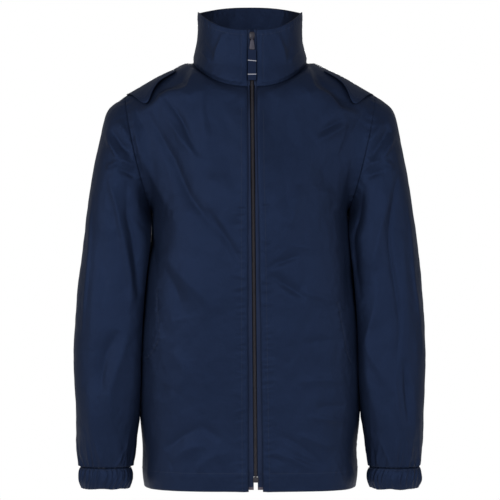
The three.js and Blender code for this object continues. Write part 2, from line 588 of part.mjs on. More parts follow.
// The slider's frame: its origin is on the zip line, its z runs up along the collar's front edge.
const zipTop = zipLine().slice(-2);
const sliderShare = (SLIDER.z - zipTop[0].z) / (zipTop[1].z - zipTop[0].z);
const sliderFrame = new THREE.Matrix4()
  .makeRotationX(-Math.atan2(zipTop[1].y - zipTop[0].y, zipTop[1].z - zipTop[0].z))
  .setPosition(zipTop[0].clone().lerp(zipTop[1], sliderShare));
const faceY = -(SLIDER.gap / 2 + SLIDER.plate);
const PIVOT = { y: faceY - HINGE.reach, z: HINGE.z };
const lugX = PULL.eyeWidth / 2 + 0.25;

function sliderGeometry() {
  const [w, h] = [SLIDER.width / 2, SLIDER.height / 2];
  const half = [[w * 0.7, -h], [w, 0], [w, h - 2], [w - 2, h]];
  const outline = bothSides(half);
  const depth = (SLIDER.gap + SLIDER.plate) / 2;
  const plates = [-depth, depth].map((y) => toSolid(plate(outline, SLIDER.plate, y)));
  const bridge = boxSolid([-SLIDER.bridge / 2, -depth, h - 3], [SLIDER.bridge / 2, depth, h]);
  const lugs = [-1, 1].map((way) => {
    const [a, b] = [way * lugX, way * (lugX + SLIDER.lug)].sort((m, n) => m - n);
    return boxSolid([a, PIVOT.y - 1.3, PIVOT.z - 1.4], [b, faceY + 0.5, PIVOT.z + 1.4]);
  });
  const bar = rodSolid(HINGE.barR, lugX + SLIDER.lug / 2, PIVOT.y, PIVOT.z);
  return fromSolid([...plates, bridge, ...lugs].reduce((a, b) => a.add(b)).add(bar));
}

function pullGeometry() {
  const eye = rodSolid(PULL.eyeR, PULL.eyeWidth / 2, 0, 0);
  const [s, t, e] = [PULL.eyeWidth / 2, PULL.topWidth / 2, PULL.endWidth / 2];
  const half = [[s, 0], [s, -PULL.stem + 1], [t, -PULL.stem], [e, -PULL.end + 2], [e, -PULL.end]];
  const tab = toSolid(plate(bothSides(half), PULL.thick, 0));
  const bore = rodSolid(HINGE.boreR, PULL.eyeWidth, 0, 0);
  return fromSolid(eye.add(tab).subtract(bore)).translate(0, PIVOT.y, PIVOT.z);
}

function strapGeometry() {
  const [w, c] = [STRAP.width / 2, STRAP.corner];
  const [top, low] = [-STRAP.start, -STRAP.start - STRAP.length];
  const half = [[w - c, top], [w, top - c], [w, low + c], [w - c, low]];
  return plate(bothSides(half), STRAP.thick, 0).translate(0, PIVOT.y, PIVOT.z);
}

// The box at the foot of the chain: a block between the tapes with a plate in front of them.
function boxGeometry() {
  const [, foot, above] = zipLine();
  const [low, high] = [BOX.low, BOX.low + BOX.height];
  const frontY = Math.min(foot.y, above.y) - ZIP.tape / 2 - SEAM - BOX.front;
  const part = (half, near, far) => boxSolid([foot.x - half, near, low], [foot.x + half, far, high]);
  const block = part(CHAIN.half, frontY + 0.1, foot.y + 1.2);
  return fromSolid(block.add(part(BOX.width / 2, frontY, frontY + BOX.front)));
}

// ---------------------------------------------------------------- assembly
const group = new THREE.Group();
group.name = "windbreaker_jacket";

function addNode(name, geometry, colour, rough = 0.7, metal = 0) {
  const material = new THREE.MeshStandardMaterial({ color: colour, roughness: rough, metalness: metal });
  material.name = `${name}_material`;
  const mesh = new THREE.Mesh(geometry, material);
  mesh.name = name;
  group.add(mesh);
}

for (const [word, hand] of [["left", 1], ["right", -1]]) {
  const addWall = (name, wall, colour) => addNode(`${name}_${word}`, wallGeometry({ hand, ...wall }), colour);
  addWall("front", { ...fronts[word], near: panelNear, far: 0 }, COLOURS.cloth);
  addWall("sleeve", { ...sleeveGrid(hand), near: -WALL, far: 0, wrap: true }, COLOURS.cloth);
  addWall("cuff", { ...cuffGrid(), near: -WALL, far: 0, wrap: true }, COLOURS.cloth);
  addWall("shoulder_flap", flapWall(hand), COLOURS.cloth);
  addWall("pocket_bag", pocketWall(hand), COLOURS.cloth);
  addWall("zip_tape", tapeWall(hand), COLOURS.tape);
}
addNode("back", backGeometry(), COLOURS.cloth);
addNode("collar", wallGeometry({ ...collar, near: -WALL, far: 0 }), COLOURS.cloth);
addNode("zip_chain", wallGeometry(chainWall()), COLOURS.metal, 0.5);
addNode("zip_box", boxGeometry(), COLOURS.metal, 0.4);
addNode("zip_slider", sliderGeometry().applyMatrix4(sliderFrame), COLOURS.metal, 0.35, 0.8);
addNode("zip_pull", pullGeometry().applyMatrix4(sliderFrame), COLOURS.metal, 0.35, 0.8);
addNode("puller_strap", strapGeometry().applyMatrix4(sliderFrame), COLOURS.strap);

export default group;
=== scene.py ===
"""Looks of the windbreaker jacket: thin cloth shells with folds, gathers, seams and stitches, the zip's
teeth, slider and pull, then materials, light and camera. Lengths are in millimetres until a mesh is made.
A panel is worked out on the wearer's left, and hand is 1 there and -1 on the right."""
import json
import math

import bmesh
import bpy
import numpy as np
from mathutils import Matrix, Vector


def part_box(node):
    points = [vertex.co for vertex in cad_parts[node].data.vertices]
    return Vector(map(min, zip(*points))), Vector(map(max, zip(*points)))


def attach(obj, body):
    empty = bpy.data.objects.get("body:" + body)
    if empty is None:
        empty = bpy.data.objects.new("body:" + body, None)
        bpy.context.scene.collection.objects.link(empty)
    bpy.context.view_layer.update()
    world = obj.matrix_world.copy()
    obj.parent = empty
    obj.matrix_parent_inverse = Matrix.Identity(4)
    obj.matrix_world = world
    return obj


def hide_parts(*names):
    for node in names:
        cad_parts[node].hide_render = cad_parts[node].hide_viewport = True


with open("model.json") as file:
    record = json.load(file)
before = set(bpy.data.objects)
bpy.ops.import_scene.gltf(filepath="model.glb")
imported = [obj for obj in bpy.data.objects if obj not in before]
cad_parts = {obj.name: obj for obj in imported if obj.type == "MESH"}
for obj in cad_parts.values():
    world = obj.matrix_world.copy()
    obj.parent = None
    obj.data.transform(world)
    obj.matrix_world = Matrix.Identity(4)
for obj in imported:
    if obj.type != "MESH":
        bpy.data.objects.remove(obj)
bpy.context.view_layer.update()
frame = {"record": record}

# ---------------------------------------------------------------- the cut, as in the part's source
HEM_Z = -711
HEM_CASING = 30
UNDERARM_Z = -250
SHOULDER_X, SHOULDER_Y = 96, 4
NECK = {"front": (-88, -46), "back": (74, 12)}  # y and z of the neckline's middle
COLLAR_TOP = {"front": (-78, 49.5), "back": (76, 102)}
COLLAR_SIDE_Z = 86
COLLAR_HALF = 88
COLLAR_SQUARE = 0.82
ZIP_X = (3.4, 9.5)  # the zip line at the neck and at the hem
FRONT_GAP = (7.4, 11.6)  # from it to each front's edge
NECK_RISE = {"front": 5 / 12 + 1e-9, "back": 7 / 12 + 1e-9}  # the share of the upper rows below the neckline
CLEAR = 0.8  # between the sleeves and the body
SLIDER_Z = 38.4
ZIP_FOOT = -689.5


def table(columns, *rows):
    """The named columns of a short table, as arrays."""
    return {name: np.array(values, float) for name, values in zip(columns.split(), zip(*rows))}


# Sections of the body: height, half the width, and how far the front and the back reach.
BODY_SECTIONS = table(
    "z half front back",
    (-711, 178, -127, 118),
    (-689, 181, -128, 118),
    (-657, 180.5, -128, 117),
    (-625, 182.5, -128, 116),
    (-573, 186.5, -129, 115),
    (-496, 186.5, -130, 113),
    (-427, 182.5, -132, 112),
    (-353, 174.5, -133, 113),
    (-300, 167, -133, 115),
    (-250, 163, -131, 116),
)
CENTRE = {
    "front": table("z y", (-250, -131), (-200, -129), (-150, -122), (-100, -109), (-46, -88)),
    "back": table("z y", (-250, 116), (-180, 117), (-120, 113), (-60, 102), (-20, 89), (12, 74)),
}
# Rings of a sleeve from the armhole to the cuff: where the top and the underarm line are, and the depth.
SLEEVE_RINGS = table(
    "outX outZ inX inZ front back bow fullness",
    (207, -57, 163, -250, -66, 62, 7, 0.85),
    (223.5, -66, 163.6, -252, -68, 64, 5, 0.85),
    (238, -79, 164, -255, -70, 65, 3, 0.85),
    (246.5, -101, 164, -259, -72, 66, 2, 0.86),
    (254.5, -137, 163.5, -264, -74, 65, 1, 0.87),
    (262.7, -181, 163, -270, -76, 62, 0, 0.88),
    (271.5, -236, 162.5, -280, -77, 58, 0, 0.9),
    (279.5, -300, 162.5, -300, -79, 52, 0, 0.92),
    (286.5, -360, 167.5, -360, -83, 45, 0, 0.94),
    (291.5, -427, 175, -427, -88, 37, 0, 0.95),
    (294, -490, 179.5, -490, -91, 29, 0, 0.95),
    (292, -540, 181, -540, -93, 22, 0, 0.96),
    (289.7, -585, 183.5, -585, -94, 14, 0, 0.97),
    (288.2, -625, 190, -625, -92, 6, 0, 0.98),
    (285.8, -655, 194.5, -655, -88, -2, 0, 1),
    (282.3, -677, 199.5, -677, -83, -12, 0, 1),
)
CORNER = (0.8, 0.78)  # how full the body's cross-section is, across and in depth
LOWER_LEVELS = (-711, -697, -681, -645, -608, -570, -535, -500, -462, -424, -386, -342, -298, -250)
UPPER_ROWS = 12
UPPER_HEIGHT = 250  # how long those rows are taken to be, up a column
COLUMNS = 8
# A shoulder flap: how many rows it falls in front of the seam, and how far it stands off, at each column.
FLAP = table(
    "column fall lift",
    (2, 1.5, 2),
    (3, 1.8, 3.2),
    (4, 2.1, 4),
    (5, 2.8, 4.2),
    (6, 3.3, 4),
    (7, 1.9, 3.2),
    (7.9, 0.5, 1.6),
)

# Folds and creases of each face: width, rise (negative for a trough), lean, and the points it runs through,
# as x to the wearer's left and z. One that leans is steeper on one side.
CREASES = {
    "front": (
        (15, 3.6, 0, (-192, -70), (-179, -160), (-164, -188), (-139, -234), (-113, -290)),
        (11, -4.2, 0, (-169, -86), (-148, -127), (-126, -168), (-115, -196), (-95, -234), (-66, -270),
         (-36, -308)),
        (5.5, -2.6, 0.3, (-139, -65), (-115, -98), (-97, -139), (-82, -165)),
        (8, 2.2, 0, (-134, -100), (-118, -126), (-98, -152), (-74, -178)),
        (5, -2.6, 0.3, (-72, -247), (-46, -286), (-25, -323), (-11, -354)),
        (6, 1.6, 0, (-59, -254), (-34, -290), (-16, -319)),
        (5, 1.3, 0, (-44, -75), (-28, -103), (-16, -136)),
        (4, 1.0, 0, (-30, -78), (-18, -106)),
        (8, 1.6, 0, (-100, -31), (-97, -73)),
        (8, 1.6, 0, (-75, -36), (-77, -98), (-67, -139)),
        (20, 2.6, 0, (-148, -316), (-107, -365), (-74, -398), (-61, -428)),
        (17, -3.2, 0, (-148, -336), (-118, -390), (-110, -428)),
        (20, 2.4, 0, (-128, -480), (-107, -516), (-121, -549)),
        (8, -2.4, 0, (-141, -644), (-121, -629), (-98, -613), (-82, -605)),
        (8, -2.2, 0, (-85, -601), (-66, -613), (-49, -629)),
        (12, 1.8, 0, (-131, -664), (-102, -642), (-72, -637)),
        (13, 1.4, 0, (-89, -677), (-57, -652), (-30, -647)),
        (26, 2.4, 0, (-74, -201), (-46, -209), (-30, -234), (-23, -275)),
        (9, -1.6, 0, (-151, -562), (-138, -537)),
        (5, -2.6, -0.2, (154, -101), (131, -113), (110, -126)),
        (6, 2.2, 0, (161, -109), (141, -121), (108, -139)),
        (8, 1.7, 0, (95, -21), (98, -73)),
        (8, 1.5, 0, (57, -54), (43, -90), (31, -122)),
        (11, 1.9, 0, (82, -208), (74, -244), (66, -280)),
        (24, 2.8, 0, (36, -247), (56, -270), (66, -313)),
        (6, -2.4, 0.3, (30, -346), (49, -337), (82, -326)),
        (6.5, -2.9, 0.2, (30, -354), (57, -373), (92, -396)),
        (10, 1.6, 0, (49, -319), (82, -311), (118, -316)),
        (9, 1.6, 0, (82, -382), (115, -393), (144, -401)),
        (8, 1.6, 0, (79, -532), (118, -529), (157, -531)),
        (9, -1.3, 0, (82, -470), (123, -465), (154, -465)),
        (6, -1.8, 0, (108, -575), (131, -572), (157, -573)),
        (6.5, 2.3, 0, (97, -590), (128, -593), (157, -600)),
        (5, -2.2, 0.2, (44, -616), (82, -637), (125, -674)),
        (7, 2.0, 0, (79, -618), (107, -629), (138, -642)),
        (6, 1.8, 0, (36, -647), (66, -655), (102, -677)),
        (4, -1.7, 0, (59, -647), (89, -659), (120, -672)),
        (4, -1.5, 0, (30, -652), (56, -664)),
        (18, -2.0, 0, (102, -177), (123, -188), (118, -218)),
        (12, 2.0, 0, (167, -152), (154, -209), (144, -259), (148, -316)),
        (10, -2.6, 0, (-180, -259), (-164, -308), (-154, -365)),
        (9, -2.2, 0, (161, -316), (164, -365), (167, -414)),
        (14, -4.5, 0, (-100, -10), (-116, -34), (-138, -46), (-152, -58)),
        (14, -4.5, 0, (100, -10), (118, -36), (140, -56), (162, -72)),
        (24, 7, 0.62, (-84, -6), (-93, -20), (-100, -50), (-139, -57), (-149, -67), (-172, -82),
         (-188, -90)),
        (24, 7, -0.62, (86, -8), (97, -20), (105, -50), (128, -60), (148, -83), (167, -88), (184, -96)),
    ),
    "back": (
        (22, 3.6, 0, (-128, -92), (-92, -150), (-42, -240)),
        (12, -3.4, 0, (-150, -120), (-118, -190), (-70, -262), (-38, -330)),
        (9, 2.4, 0.2, (118, -96), (92, -142), (70, -200)),
        (14, -3.2, 0, (150, -118), (120, -178), (86, -246), (62, -300)),
        (20, 3.2, 0, (96, -230), (62, -310), (50, -390)),
        (24, -3.0, 0, (-78, -370), (-44, -460), (-28, -556)),
        (20, -2.8, 0, (58, -320), (84, -410), (98, -500)),
        (9, 2.0, -0.2, (-150, -300), (-112, -352), (-84, -398)),
        (6, -2.2, 0.2, (148, -330), (112, -372), (86, -402)),
        (10, 1.9, 0, (-96, -500), (-60, -520), (-20, -524)),
        (8, 1.8, 0, (30, -590), (76, -604), (128, -612)),
        (6, -2.0, 0.2, (-132, -606), (-86, -628), (-40, -660)),
        (8, 1.8, 0, (-20, -640), (30, -652), (84, -676)),
        (18, 1.8, 0, (0, -60), (6, -130), (-4, -210)),
        (7, 1.5, 0, (60, -16), (66, -60), (58, -96)),
        (7, 1.5, 0, (-66, -18), (-60, -64), (-68, -102)),
    ),
    "sleeve_right": (
        (4.2, 2.6, 0, (-242, -118), (-231, -142), (-217, -165)),
        (4, 1.8, 0, (-217, -165), (-206, -170), (-193, -177)),
        (4, 2.2, 0, (-217, -167), (-227, -175), (-239, -180)),
        (7, -3.4, 0, (-232, -113), (-216, -138), (-194, -163)),
        (6, 2.4, 0, (-221, -100), (-209, -117), (-198, -137)),
        (6, -2.4, 0, (-219, -183), (-204, -187), (-191, -196)),
        (7.5, 3.6, 0.35, (-236, -192), (-222, -241), (-214, -286), (-208, -336), (-204, -382), (-209, -436),
         ),
        (9, -4.0, 0, (-204, -200), (-203, -258), (-198, -324), (-194, -399)),
        (12, 3.6, 0, (-206, -424), (-214, -474), (-227, -524), (-232, -573), (-226, -618)),
        (10, -3.2, 0, (-221, -449), (-236, -485), (-244, -519), (-246, -552)),
        (4.5, 1.6, -0.3, (-262, -216), (-267, -303), (-271, -369), (-279, -462)),
        (16, -1.8, 0, (-242, -283), (-244, -336), (-239, -399)),
        (14, 1.5, 0, (-257, -349), (-261, -416), (-266, -482)),
        (12, 1.5, 0, (-269, -540), (-262, -590), (-262, -631)),
    ),
    "sleeve_left": (
        (4.2, 2.6, 0, (241, -122), (231, -143), (219, -167)),
        (4, 1.8, 0, (219, -167), (204, -172), (191, -180)),
        (4, 2.2, 0, (221, -167), (231, -175), (239, -182)),
        (7, -3.4, 0, (234, -112), (217, -138), (196, -167)),
        (6, 2.4, 0, (221, -100), (211, -120), (199, -142)),
        (6, -2.4, 0, (226, -185), (209, -188), (193, -196)),
        (5.5, -3.2, -0.3, (247, -183), (239, -231), (231, -286), (234, -336), (244, -399), (247, -449),
         (241, -509)),
        (9, 3.0, 0, (232, -213), (221, -261), (212, -314), (206, -374)),
        (9, -3.8, 0, (189, -208), (179, -274), (183, -341), (193, -399)),
        (10, 3.4, 0, (214, -362), (211, -424), (204, -474), (221, -519), (232, -557)),
        (13, 3.0, 0, (196, -449), (203, -515), (208, -573), (212, -615)),
        (4.5, -2.8, 0.2, (254, -495), (257, -548), (262, -605)),
        (5, 2.0, 0, (239, -519), (244, -577), (249, -615)),
        (4.5, 1.6, 0.3, (261, -233), (267, -299), (271, -358), (282, -437), (286, -492)),
        (13, 1.6, 0, (252, -283), (257, -382), (264, -465)),
        (10, 1.4, 0, (272, -540), (272, -590), (271, -631)),
    ),
    "sleeve_right_back": (
        (14, 3.4, 0, (-238, -150), (-224, -230), (-208, -330)),
        (6, 2.4, 0, (-240, -120), (-226, -146), (-206, -168)),
        (8, -3.0, 0, (-228, -118), (-212, -142), (-194, -166)),
        (7, -3.0, 0.3, (-262, -236), (-246, -262), (-222, -276)),
        (6, 2.4, 0, (-270, -268), (-250, -288), (-224, -298)),
        (10, -3.0, 0, (-206, -330), (-222, -400), (-240, -470), (-250, -548)),
        (12, 2.8, 0, (-266, -380), (-256, -450), (-232, -530), (-222, -600)),
        (6, -2.2, 0, (-200, -470), (-222, -486), (-248, -492)),
    ),
    "sleeve_left_back": (
        (14, 3.2, 0, (240, -160), (222, -250), (210, -350)),
        (6, 2.4, 0, (242, -126), (224, -148), (204, -170)),
        (8, -3.0, 0, (230, -122), (214, -146), (196, -172)),
        (7, -2.8, -0.3, (260, -256), (240, -276), (214, -284)),
        (10, -3.2, 0, (208, -350), (224, -420), (238, -490), (246, -560)),
        (13, 2.8, 0, (268, -340), (262, -430), (238, -520), (224, -606)),
        (6, 2.0, 0, (204, -500), (226, -512), (252, -514)),
    ),
    "collar": (
        (5, 2.6, 0.3, (-46, 45), (-51, 28), (-57, 14), (-60, -6)),
        (5, 2.6, -0.3, (46, 45), (52, 28), (57, 14), (60, -8)),
        (4.5, 2.4, 0, (-86, 20), (-74, 8), (-67, -6)),
        (4.5, 2.4, 0, (86, 20), (72, 6), (66, -6)),
        (7, -1.6, 0, (-78, 34), (-68, 16), (-62, 2)),
        (7, -1.6, 0, (78, 34), (68, 18), (64, 4)),
        (6, 0.9, 0, (18, 34), (19, 14), (20, -6)),
        (6, 0.8, 0, (-20, 36), (-18, 20), (-19, 4)),
        (5, 0.8, 0, (-34, 36), (-36, 24), (-35, 14)),
        (5, 0.8, 0, (33, 36), (36, 22), (34, 8)),
    ),
    "collar_back": (
        (10, 1.6, 0, (-40, 96), (-34, 60), (-46, 20)),
        (9, -1.4, 0, (20, 98), (26, 60), (16, 24)),
        (8, 1.4, 0, (58, 92), (52, 56), (60, 16)),
    ),
}


# ---------------------------------------------------------------- numbers
def mix(a, b, t):
    return a + (b - a) * t


def smooth(low, high, x):
    t = np.clip((np.asarray(x, float) - low) / (high - low), 0, 1)
    return t * t * (3 - 2 * t)


def bump(x, width):
    return np.exp(-((x / width) ** 2))


def unit(v):
    return v / np.maximum(np.linalg.norm(v, axis=-1, keepdims=True), 1e-9)


def spline(knots, values, at):
    """A natural cubic spline through the values at the knots."""
    knots, values, at = (np.asarray(a, float) for a in (knots, values, at))
    flat, count = values.reshape(len(knots), -1), len(knots)
    h = np.diff(knots)
    system, right = np.eye(count), np.zeros_like(flat)
    for i in range(1, count - 1):
        system[i, i - 1 : i + 2] = h[i - 1], 2 * (h[i - 1] + h[i]), h[i]
        right[i] = 6 * ((flat[i + 1] - flat[i]) / h[i] - (flat[i] - flat[i - 1]) / h[i - 1])
    bend = np.linalg.solve(system, right)
    x = np.clip(at.ravel(), knots[0], knots[-1])
    i = np.clip(np.searchsorted(knots, x) - 1, 0, count - 2)
    w, a, b = h[i, None], (knots[i + 1] - x)[:, None], (x - knots[i])[:, None]
    out = (bend[i] * a**3 + bend[i + 1] * b**3) / (6 * w)
    out = out + (flat[i] / w - bend[i] * w / 6) * a + (flat[i + 1] / w - bend[i + 1] * w / 6) * b
    return out.reshape(at.shape + values.shape[1:])


def lengths(points, axis=0):
    """The distance along rows of points, from the first."""
    steps = np.linalg.norm(np.diff(points, axis=axis), axis=-1)
    start = np.zeros_like(np.take(steps, [0], axis=axis))
    return np.concatenate([start, np.cumsum(steps, axis=axis)], axis=axis)


def near_line(points, line):
    """How far points are from a line, how far along it that is, and, in a plane, on which side."""
    starts = lengths(line)
    best = np.full(points.shape[:-1], 1e9)
    along, side = np.zeros_like(best), np.ones_like(best)
    for k in range(len(line) - 1):
        way = line[k + 1] - line[k]
        size = max(float(way @ way), 1e-9)
        t = np.clip((points - line[k]) @ way / size, 0, 1)
        off = points - line[k] - t[..., None] * way
        far = np.linalg.norm(off, axis=-1)
        nearer = far < best
        best = np.where(nearer, far, best)
        along = np.where(nearer, starts[k] + t * math.sqrt(size), along)
        if points.shape[-1] == 2:
            side = np.where(nearer, np.sign(off[..., 0] * way[1] - off[..., 1] * way[0]), side)
    return best, along, side


def noise(points, size, seed):
    """Smooth noise from about -1 to 1, with lumps of about that size along x, y and z."""
    slopes = unit(np.random.default_rng(seed).normal(size=(4096, 3)))
    cell = points / np.asarray(size, float)
    base = np.floor(cell).astype(np.int64)
    part = cell - base
    fade = part**3 * (part * (part * 6 - 15) + 10)
    total = np.zeros(points.shape[:-1])
    for corner in np.ndindex(2, 2, 2):
        at = base + corner
        pick = (at[..., 0] * 73856093 ^ at[..., 1] * 19349663 ^ at[..., 2] * 83492791) & 4095
        weight = np.prod(np.where(corner, fade, 1 - fade), axis=-1)
        total += weight * ((part - corner) * slopes[pick]).sum(axis=-1)
    return total * 1.6


CREASE_REACH = 2.6  # widths from a crease's line, past which it adds nothing
CREASE_EDGE = 1.25  # how soft its profile is: 1 for a sharp ridge, 2 for a round one


def creases_at(face, x, z):
    """What a face's folds and creases add at points x, z."""
    total = np.zeros(x.shape)
    for width, rise, lean, *points in CREASES[face]:
        points = np.array(points, float)
        knots = lengths(points)
        line = spline(knots, points, np.linspace(0, knots[-1], 4 * len(points)))
        reach = CREASE_REACH * width
        (x0, z0), (x1, z1) = line.min(0) - reach, line.max(0) + reach
        inside = (x > x0) & (x < x1) & (z > z0) & (z < z1)
        if not inside.any():
            continue
        off, along, side = near_line(np.stack([x[inside], z[inside]], -1), line)
        q = off / (width * (1 - lean * side))
        taper = np.sin(np.pi * np.clip(along / knots[-1], 0, 1)) ** 0.7
        total[inside] += rise * taper * np.exp(-CREASE_EDGE * np.sqrt(q * q + 0.012) ** CREASE_EDGE)
    return total


# Ripples across each seam: how far apart, how high, how far they reach from it, and how wide.
PUCKERS = {
    "armhole": (12, 1.5, 13, 3.6),
    "side_seam": (9.5, 1.2, 10, 3.0),
    "hem": (9, 1.1, 11, 2.8),
    "zip_edge": (7.5, 1.8, 6.5, 2.4),
    "pocket": (7.5, 1.5, 7, 2.4),
    "sleeve_end": (8, 2.3, 30, 2.6),
    "sleeve_end_broad": (24, 2.0, 62, 5),
    "cuff": (7.4, 1.0, 9, 2.5),
    "cuff_slanting": (12, 1.0, 9, 2.2),
    "collar_top": (8, 0.8, 5.5, 2.3),
    "collar_foot": (11, 0.9, 9, 2.8),
}


def puckers(seam, along, off, seed):
    """Small uneven ripples across a seam, from the distance along it and the distance from it."""
    spacing, height, reach, width = PUCKERS[seam]
    rng = np.random.default_rng(seed)
    total, at = np.zeros(along.shape), float(along.min())
    while at < along.max():
        tall, wide = height * rng.uniform(0.3, 1.3), width * rng.uniform(0.7, 1.4)
        far, slant = reach * rng.uniform(0.5, 1.4), rng.normal(0, 0.3)
        total += tall * bump(along - at - slant * off, wide) * bump(off, far)
        at += spacing * rng.uniform(0.6, 1.5)
    return total


# ---------------------------------------------------------------- the worn form
def down_zip(z):
    """How far down the zip a height is, from 0 to 1."""
    return np.clip((NECK["front"][1] - z) / (NECK["front"][1] - HEM_Z), 0, 1)


def centre_x(side, hand, z):
    """The inner edge of a panel: the zip edge of a front, the middle of the back."""
    if side == "back":
        return np.zeros_like(np.asarray(z, float))
    return hand * mix(*ZIP_X, down_zip(z)) + mix(*FRONT_GAP, down_zip(z))


def neckline(side, hand, turn):
    """The neckline on one half, from its middle to the shoulder seam."""
    y, z = NECK[side]
    sin, cos = np.abs(np.sin(turn * np.pi / 2)), np.abs(np.cos(turn * np.pi / 2))
    x = centre_x(side, hand, z)
    across, ahead = x + (SHOULDER_X - x) * sin**0.92, SHOULDER_Y + (y - SHOULDER_Y) * cos**0.9
    return np.stack([across, ahead, z * cos**1.5], -1)


def ring_point(ring, angle):
    """A ring of a sleeve: the angle is 0 under the arm, and the front comes first."""
    up = (1 - np.cos(angle)) / 2
    across = np.abs(np.sin(angle)) ** ring["fullness"]
    middle = (ring["front"] + ring["back"]) / 2
    reach = np.where(np.sin(angle) > 0, ring["front"], ring["back"])
    dx, dz = ring["outX"] - ring["inX"], ring["outZ"] - ring["inZ"]
    out = ring["bow"] * np.abs(np.sin(angle)) / np.hypot(dx, dz)
    x, z = ring["inX"] + dx * up + dz * out, ring["inZ"] + dz * up - dx * out
    return np.stack([x, middle + (reach - middle) * across, z], -1)


ARMHOLE = {name: values[0] for name, values in SLEEVE_RINGS.items()}
UNDERARM_Y = (ARMHOLE["front"] + ARMHOLE["back"]) / 2


def armhole(side, rise):
    return ring_point(ARMHOLE, np.pi * (rise if side == "front" else 2 - rise))


def row_ends(side, hand, z, rise):
    """Both ends of a panel's rows: below the underarm rise is 0, above it z isn't used."""
    neck_rise, neck_z = NECK_RISE[side], NECK[side][1]
    climb = (1 - np.cos(np.minimum(rise, neck_rise) * np.pi)) / (1 - math.cos(neck_rise * math.pi))
    low, level = rise <= 0, mix(UNDERARM_Z, neck_z, climb)
    height = np.where(low, z, level)
    below = spline(BODY_SECTIONS["z"], BODY_SECTIONS[side], z)
    reach = np.where(low, below, spline(CENTRE[side]["z"], CENTRE[side]["y"], level))
    start = np.stack([centre_x(side, hand, height), reach, height], -1)
    turn = np.clip((rise - neck_rise) / (1 - neck_rise), 0, 1)
    start = np.where((rise > neck_rise)[:, None], neckline(side, hand, turn), start)
    half = spline(BODY_SECTIONS["z"], BODY_SECTIONS["half"], z)
    end = np.stack([half, np.full_like(half, UNDERARM_Y), z], -1)
    return start, np.where(low[:, None], end, armhole(side, rise)), turn


def coarse_panel(side, hand):
    """The panel's grid as the part has it, and how far up each of its rows is."""
    sign = 1 if side == "front" else -1
    steps = np.arange(1, UPPER_ROWS + 1) / UPPER_ROWS
    z = np.concatenate([LOWER_LEVELS, np.full(UPPER_ROWS, UNDERARM_Z)])
    rise = np.concatenate([np.zeros(len(LOWER_LEVELS)), steps])
    start, end, turn = row_ends(side, hand, z, rise)
    bulge = sign * np.sin(turn * np.pi)
    start_way = unit(np.stack([np.ones_like(turn), -0.25 * bulge, -0.32 * turn], -1))
    heading, fall = np.radians(88) * (1 - rise) ** 1.5, np.radians(-34) * rise
    flat = np.cos(fall)
    end_way = np.stack([np.cos(heading) * flat, sign * np.sin(heading) * flat, np.sin(fall)], -1)
    span = np.linalg.norm(end - start, axis=-1)
    first = start + start_way * (span * mix(0.47, 0.34, rise))[:, None]
    second = end - end_way * (span * mix(0.385, 0.33, rise))[:, None]
    low = rise <= 0
    first[low] = np.stack([mix(start[low, 0], end[low, 0], CORNER[0]), start[low, 1], z[low]], -1)
    second[low] = np.stack([end[low, 0], mix(UNDERARM_Y, start[low, 1], CORNER[1]), z[low]], -1)
    t = np.linspace(0, 1, COLUMNS + 1)[None, :, None]
    ends = [p[:, None] for p in (start, first, second, end)]
    grid = sum(c * p for c, p in zip(((1 - t) ** 3, 3 * t * (1 - t) ** 2, 3 * t * t * (1 - t), t**3), ends))
    level = len(LOWER_LEVELS) - 1
    share = 0.5 * np.sin(np.pi * np.arange(1, COLUMNS) / COLUMNS)[:, None] ** 0.5
    for _ in range(10):  # evens the rows on both sides of the underarm's level
        before = grid.copy()
        for j in range(level - 4, level + 6):
            under, over, p = before[j - 1, 1:-1], before[j + 1, 1:-1], grid[j, 1:-1]
            even = under + (over - under) * ((p[:, 2] - under[:, 2]) / (over[:, 2] - under[:, 2]))[:, None]
            grid[j, 1:-1, :2] = mix(p[:, :2], even[:, :2], share)
    neck = level + round(UPPER_ROWS * NECK_RISE[side])
    for _ in range(8):  # and beside the start of the neckline
        before = grid.copy()
        for j in range(neck - 3, neck + 4):
            grid[j, 1:-1] = mix(before[j, 1:-1], (before[j - 1, 1:-1] + before[j + 1, 1:-1]) / 2, share)
    return grid, np.where(low, z - HEM_Z, UNDERARM_Z - HEM_Z + UPPER_HEIGHT * rise)


LOW_ROWS, HIGH_ROWS, FINE_COLUMNS = 160, 84, 84
ROW_Z = np.concatenate([np.linspace(HEM_Z, UNDERARM_Z, LOW_ROWS), np.full(HIGH_ROWS, UNDERARM_Z)])
ROW_RISE = np.concatenate([np.zeros(LOW_ROWS), np.arange(1, HIGH_ROWS + 1) / HIGH_ROWS])


def fine_panel(side, hand):
    """The same form as a fine grid, its edges worked out exactly."""
    grid, height = coarse_panel(side, hand)
    fine = np.where(ROW_RISE > 0, UNDERARM_Z - HEM_Z + UPPER_HEIGHT * ROW_RISE, ROW_Z - HEM_Z)
    columns = spline(height, grid, fine)
    columns[:, 0], columns[:, -1] = row_ends(side, hand, ROW_Z, ROW_RISE)[:2]
    at = np.linspace(0, COLUMNS, FINE_COLUMNS)
    across = spline(np.arange(COLUMNS + 1), columns.transpose(1, 0, 2), at)
    fine, level = across.transpose(1, 0, 2).copy(), LOW_ROWS - 1
    share = np.minimum(1, np.arange(FINE_COLUMNS)[::-1, None] / 12)
    for _ in range(60):  # and once more, finely
        under, here, over = (fine[level - 11 + k : level + 14 + k] for k in range(3))
        fine[level - 10 : level + 15] = mix(here, (under + over) / 2, share)
    return fine


def face_normals(grid, wrap=False):
    up = np.gradient(grid, axis=0)
    along = np.roll(grid, -1, 1) - np.roll(grid, 1, 1) if wrap else np.gradient(grid, axis=1)
    return unit(np.cross(along, up))


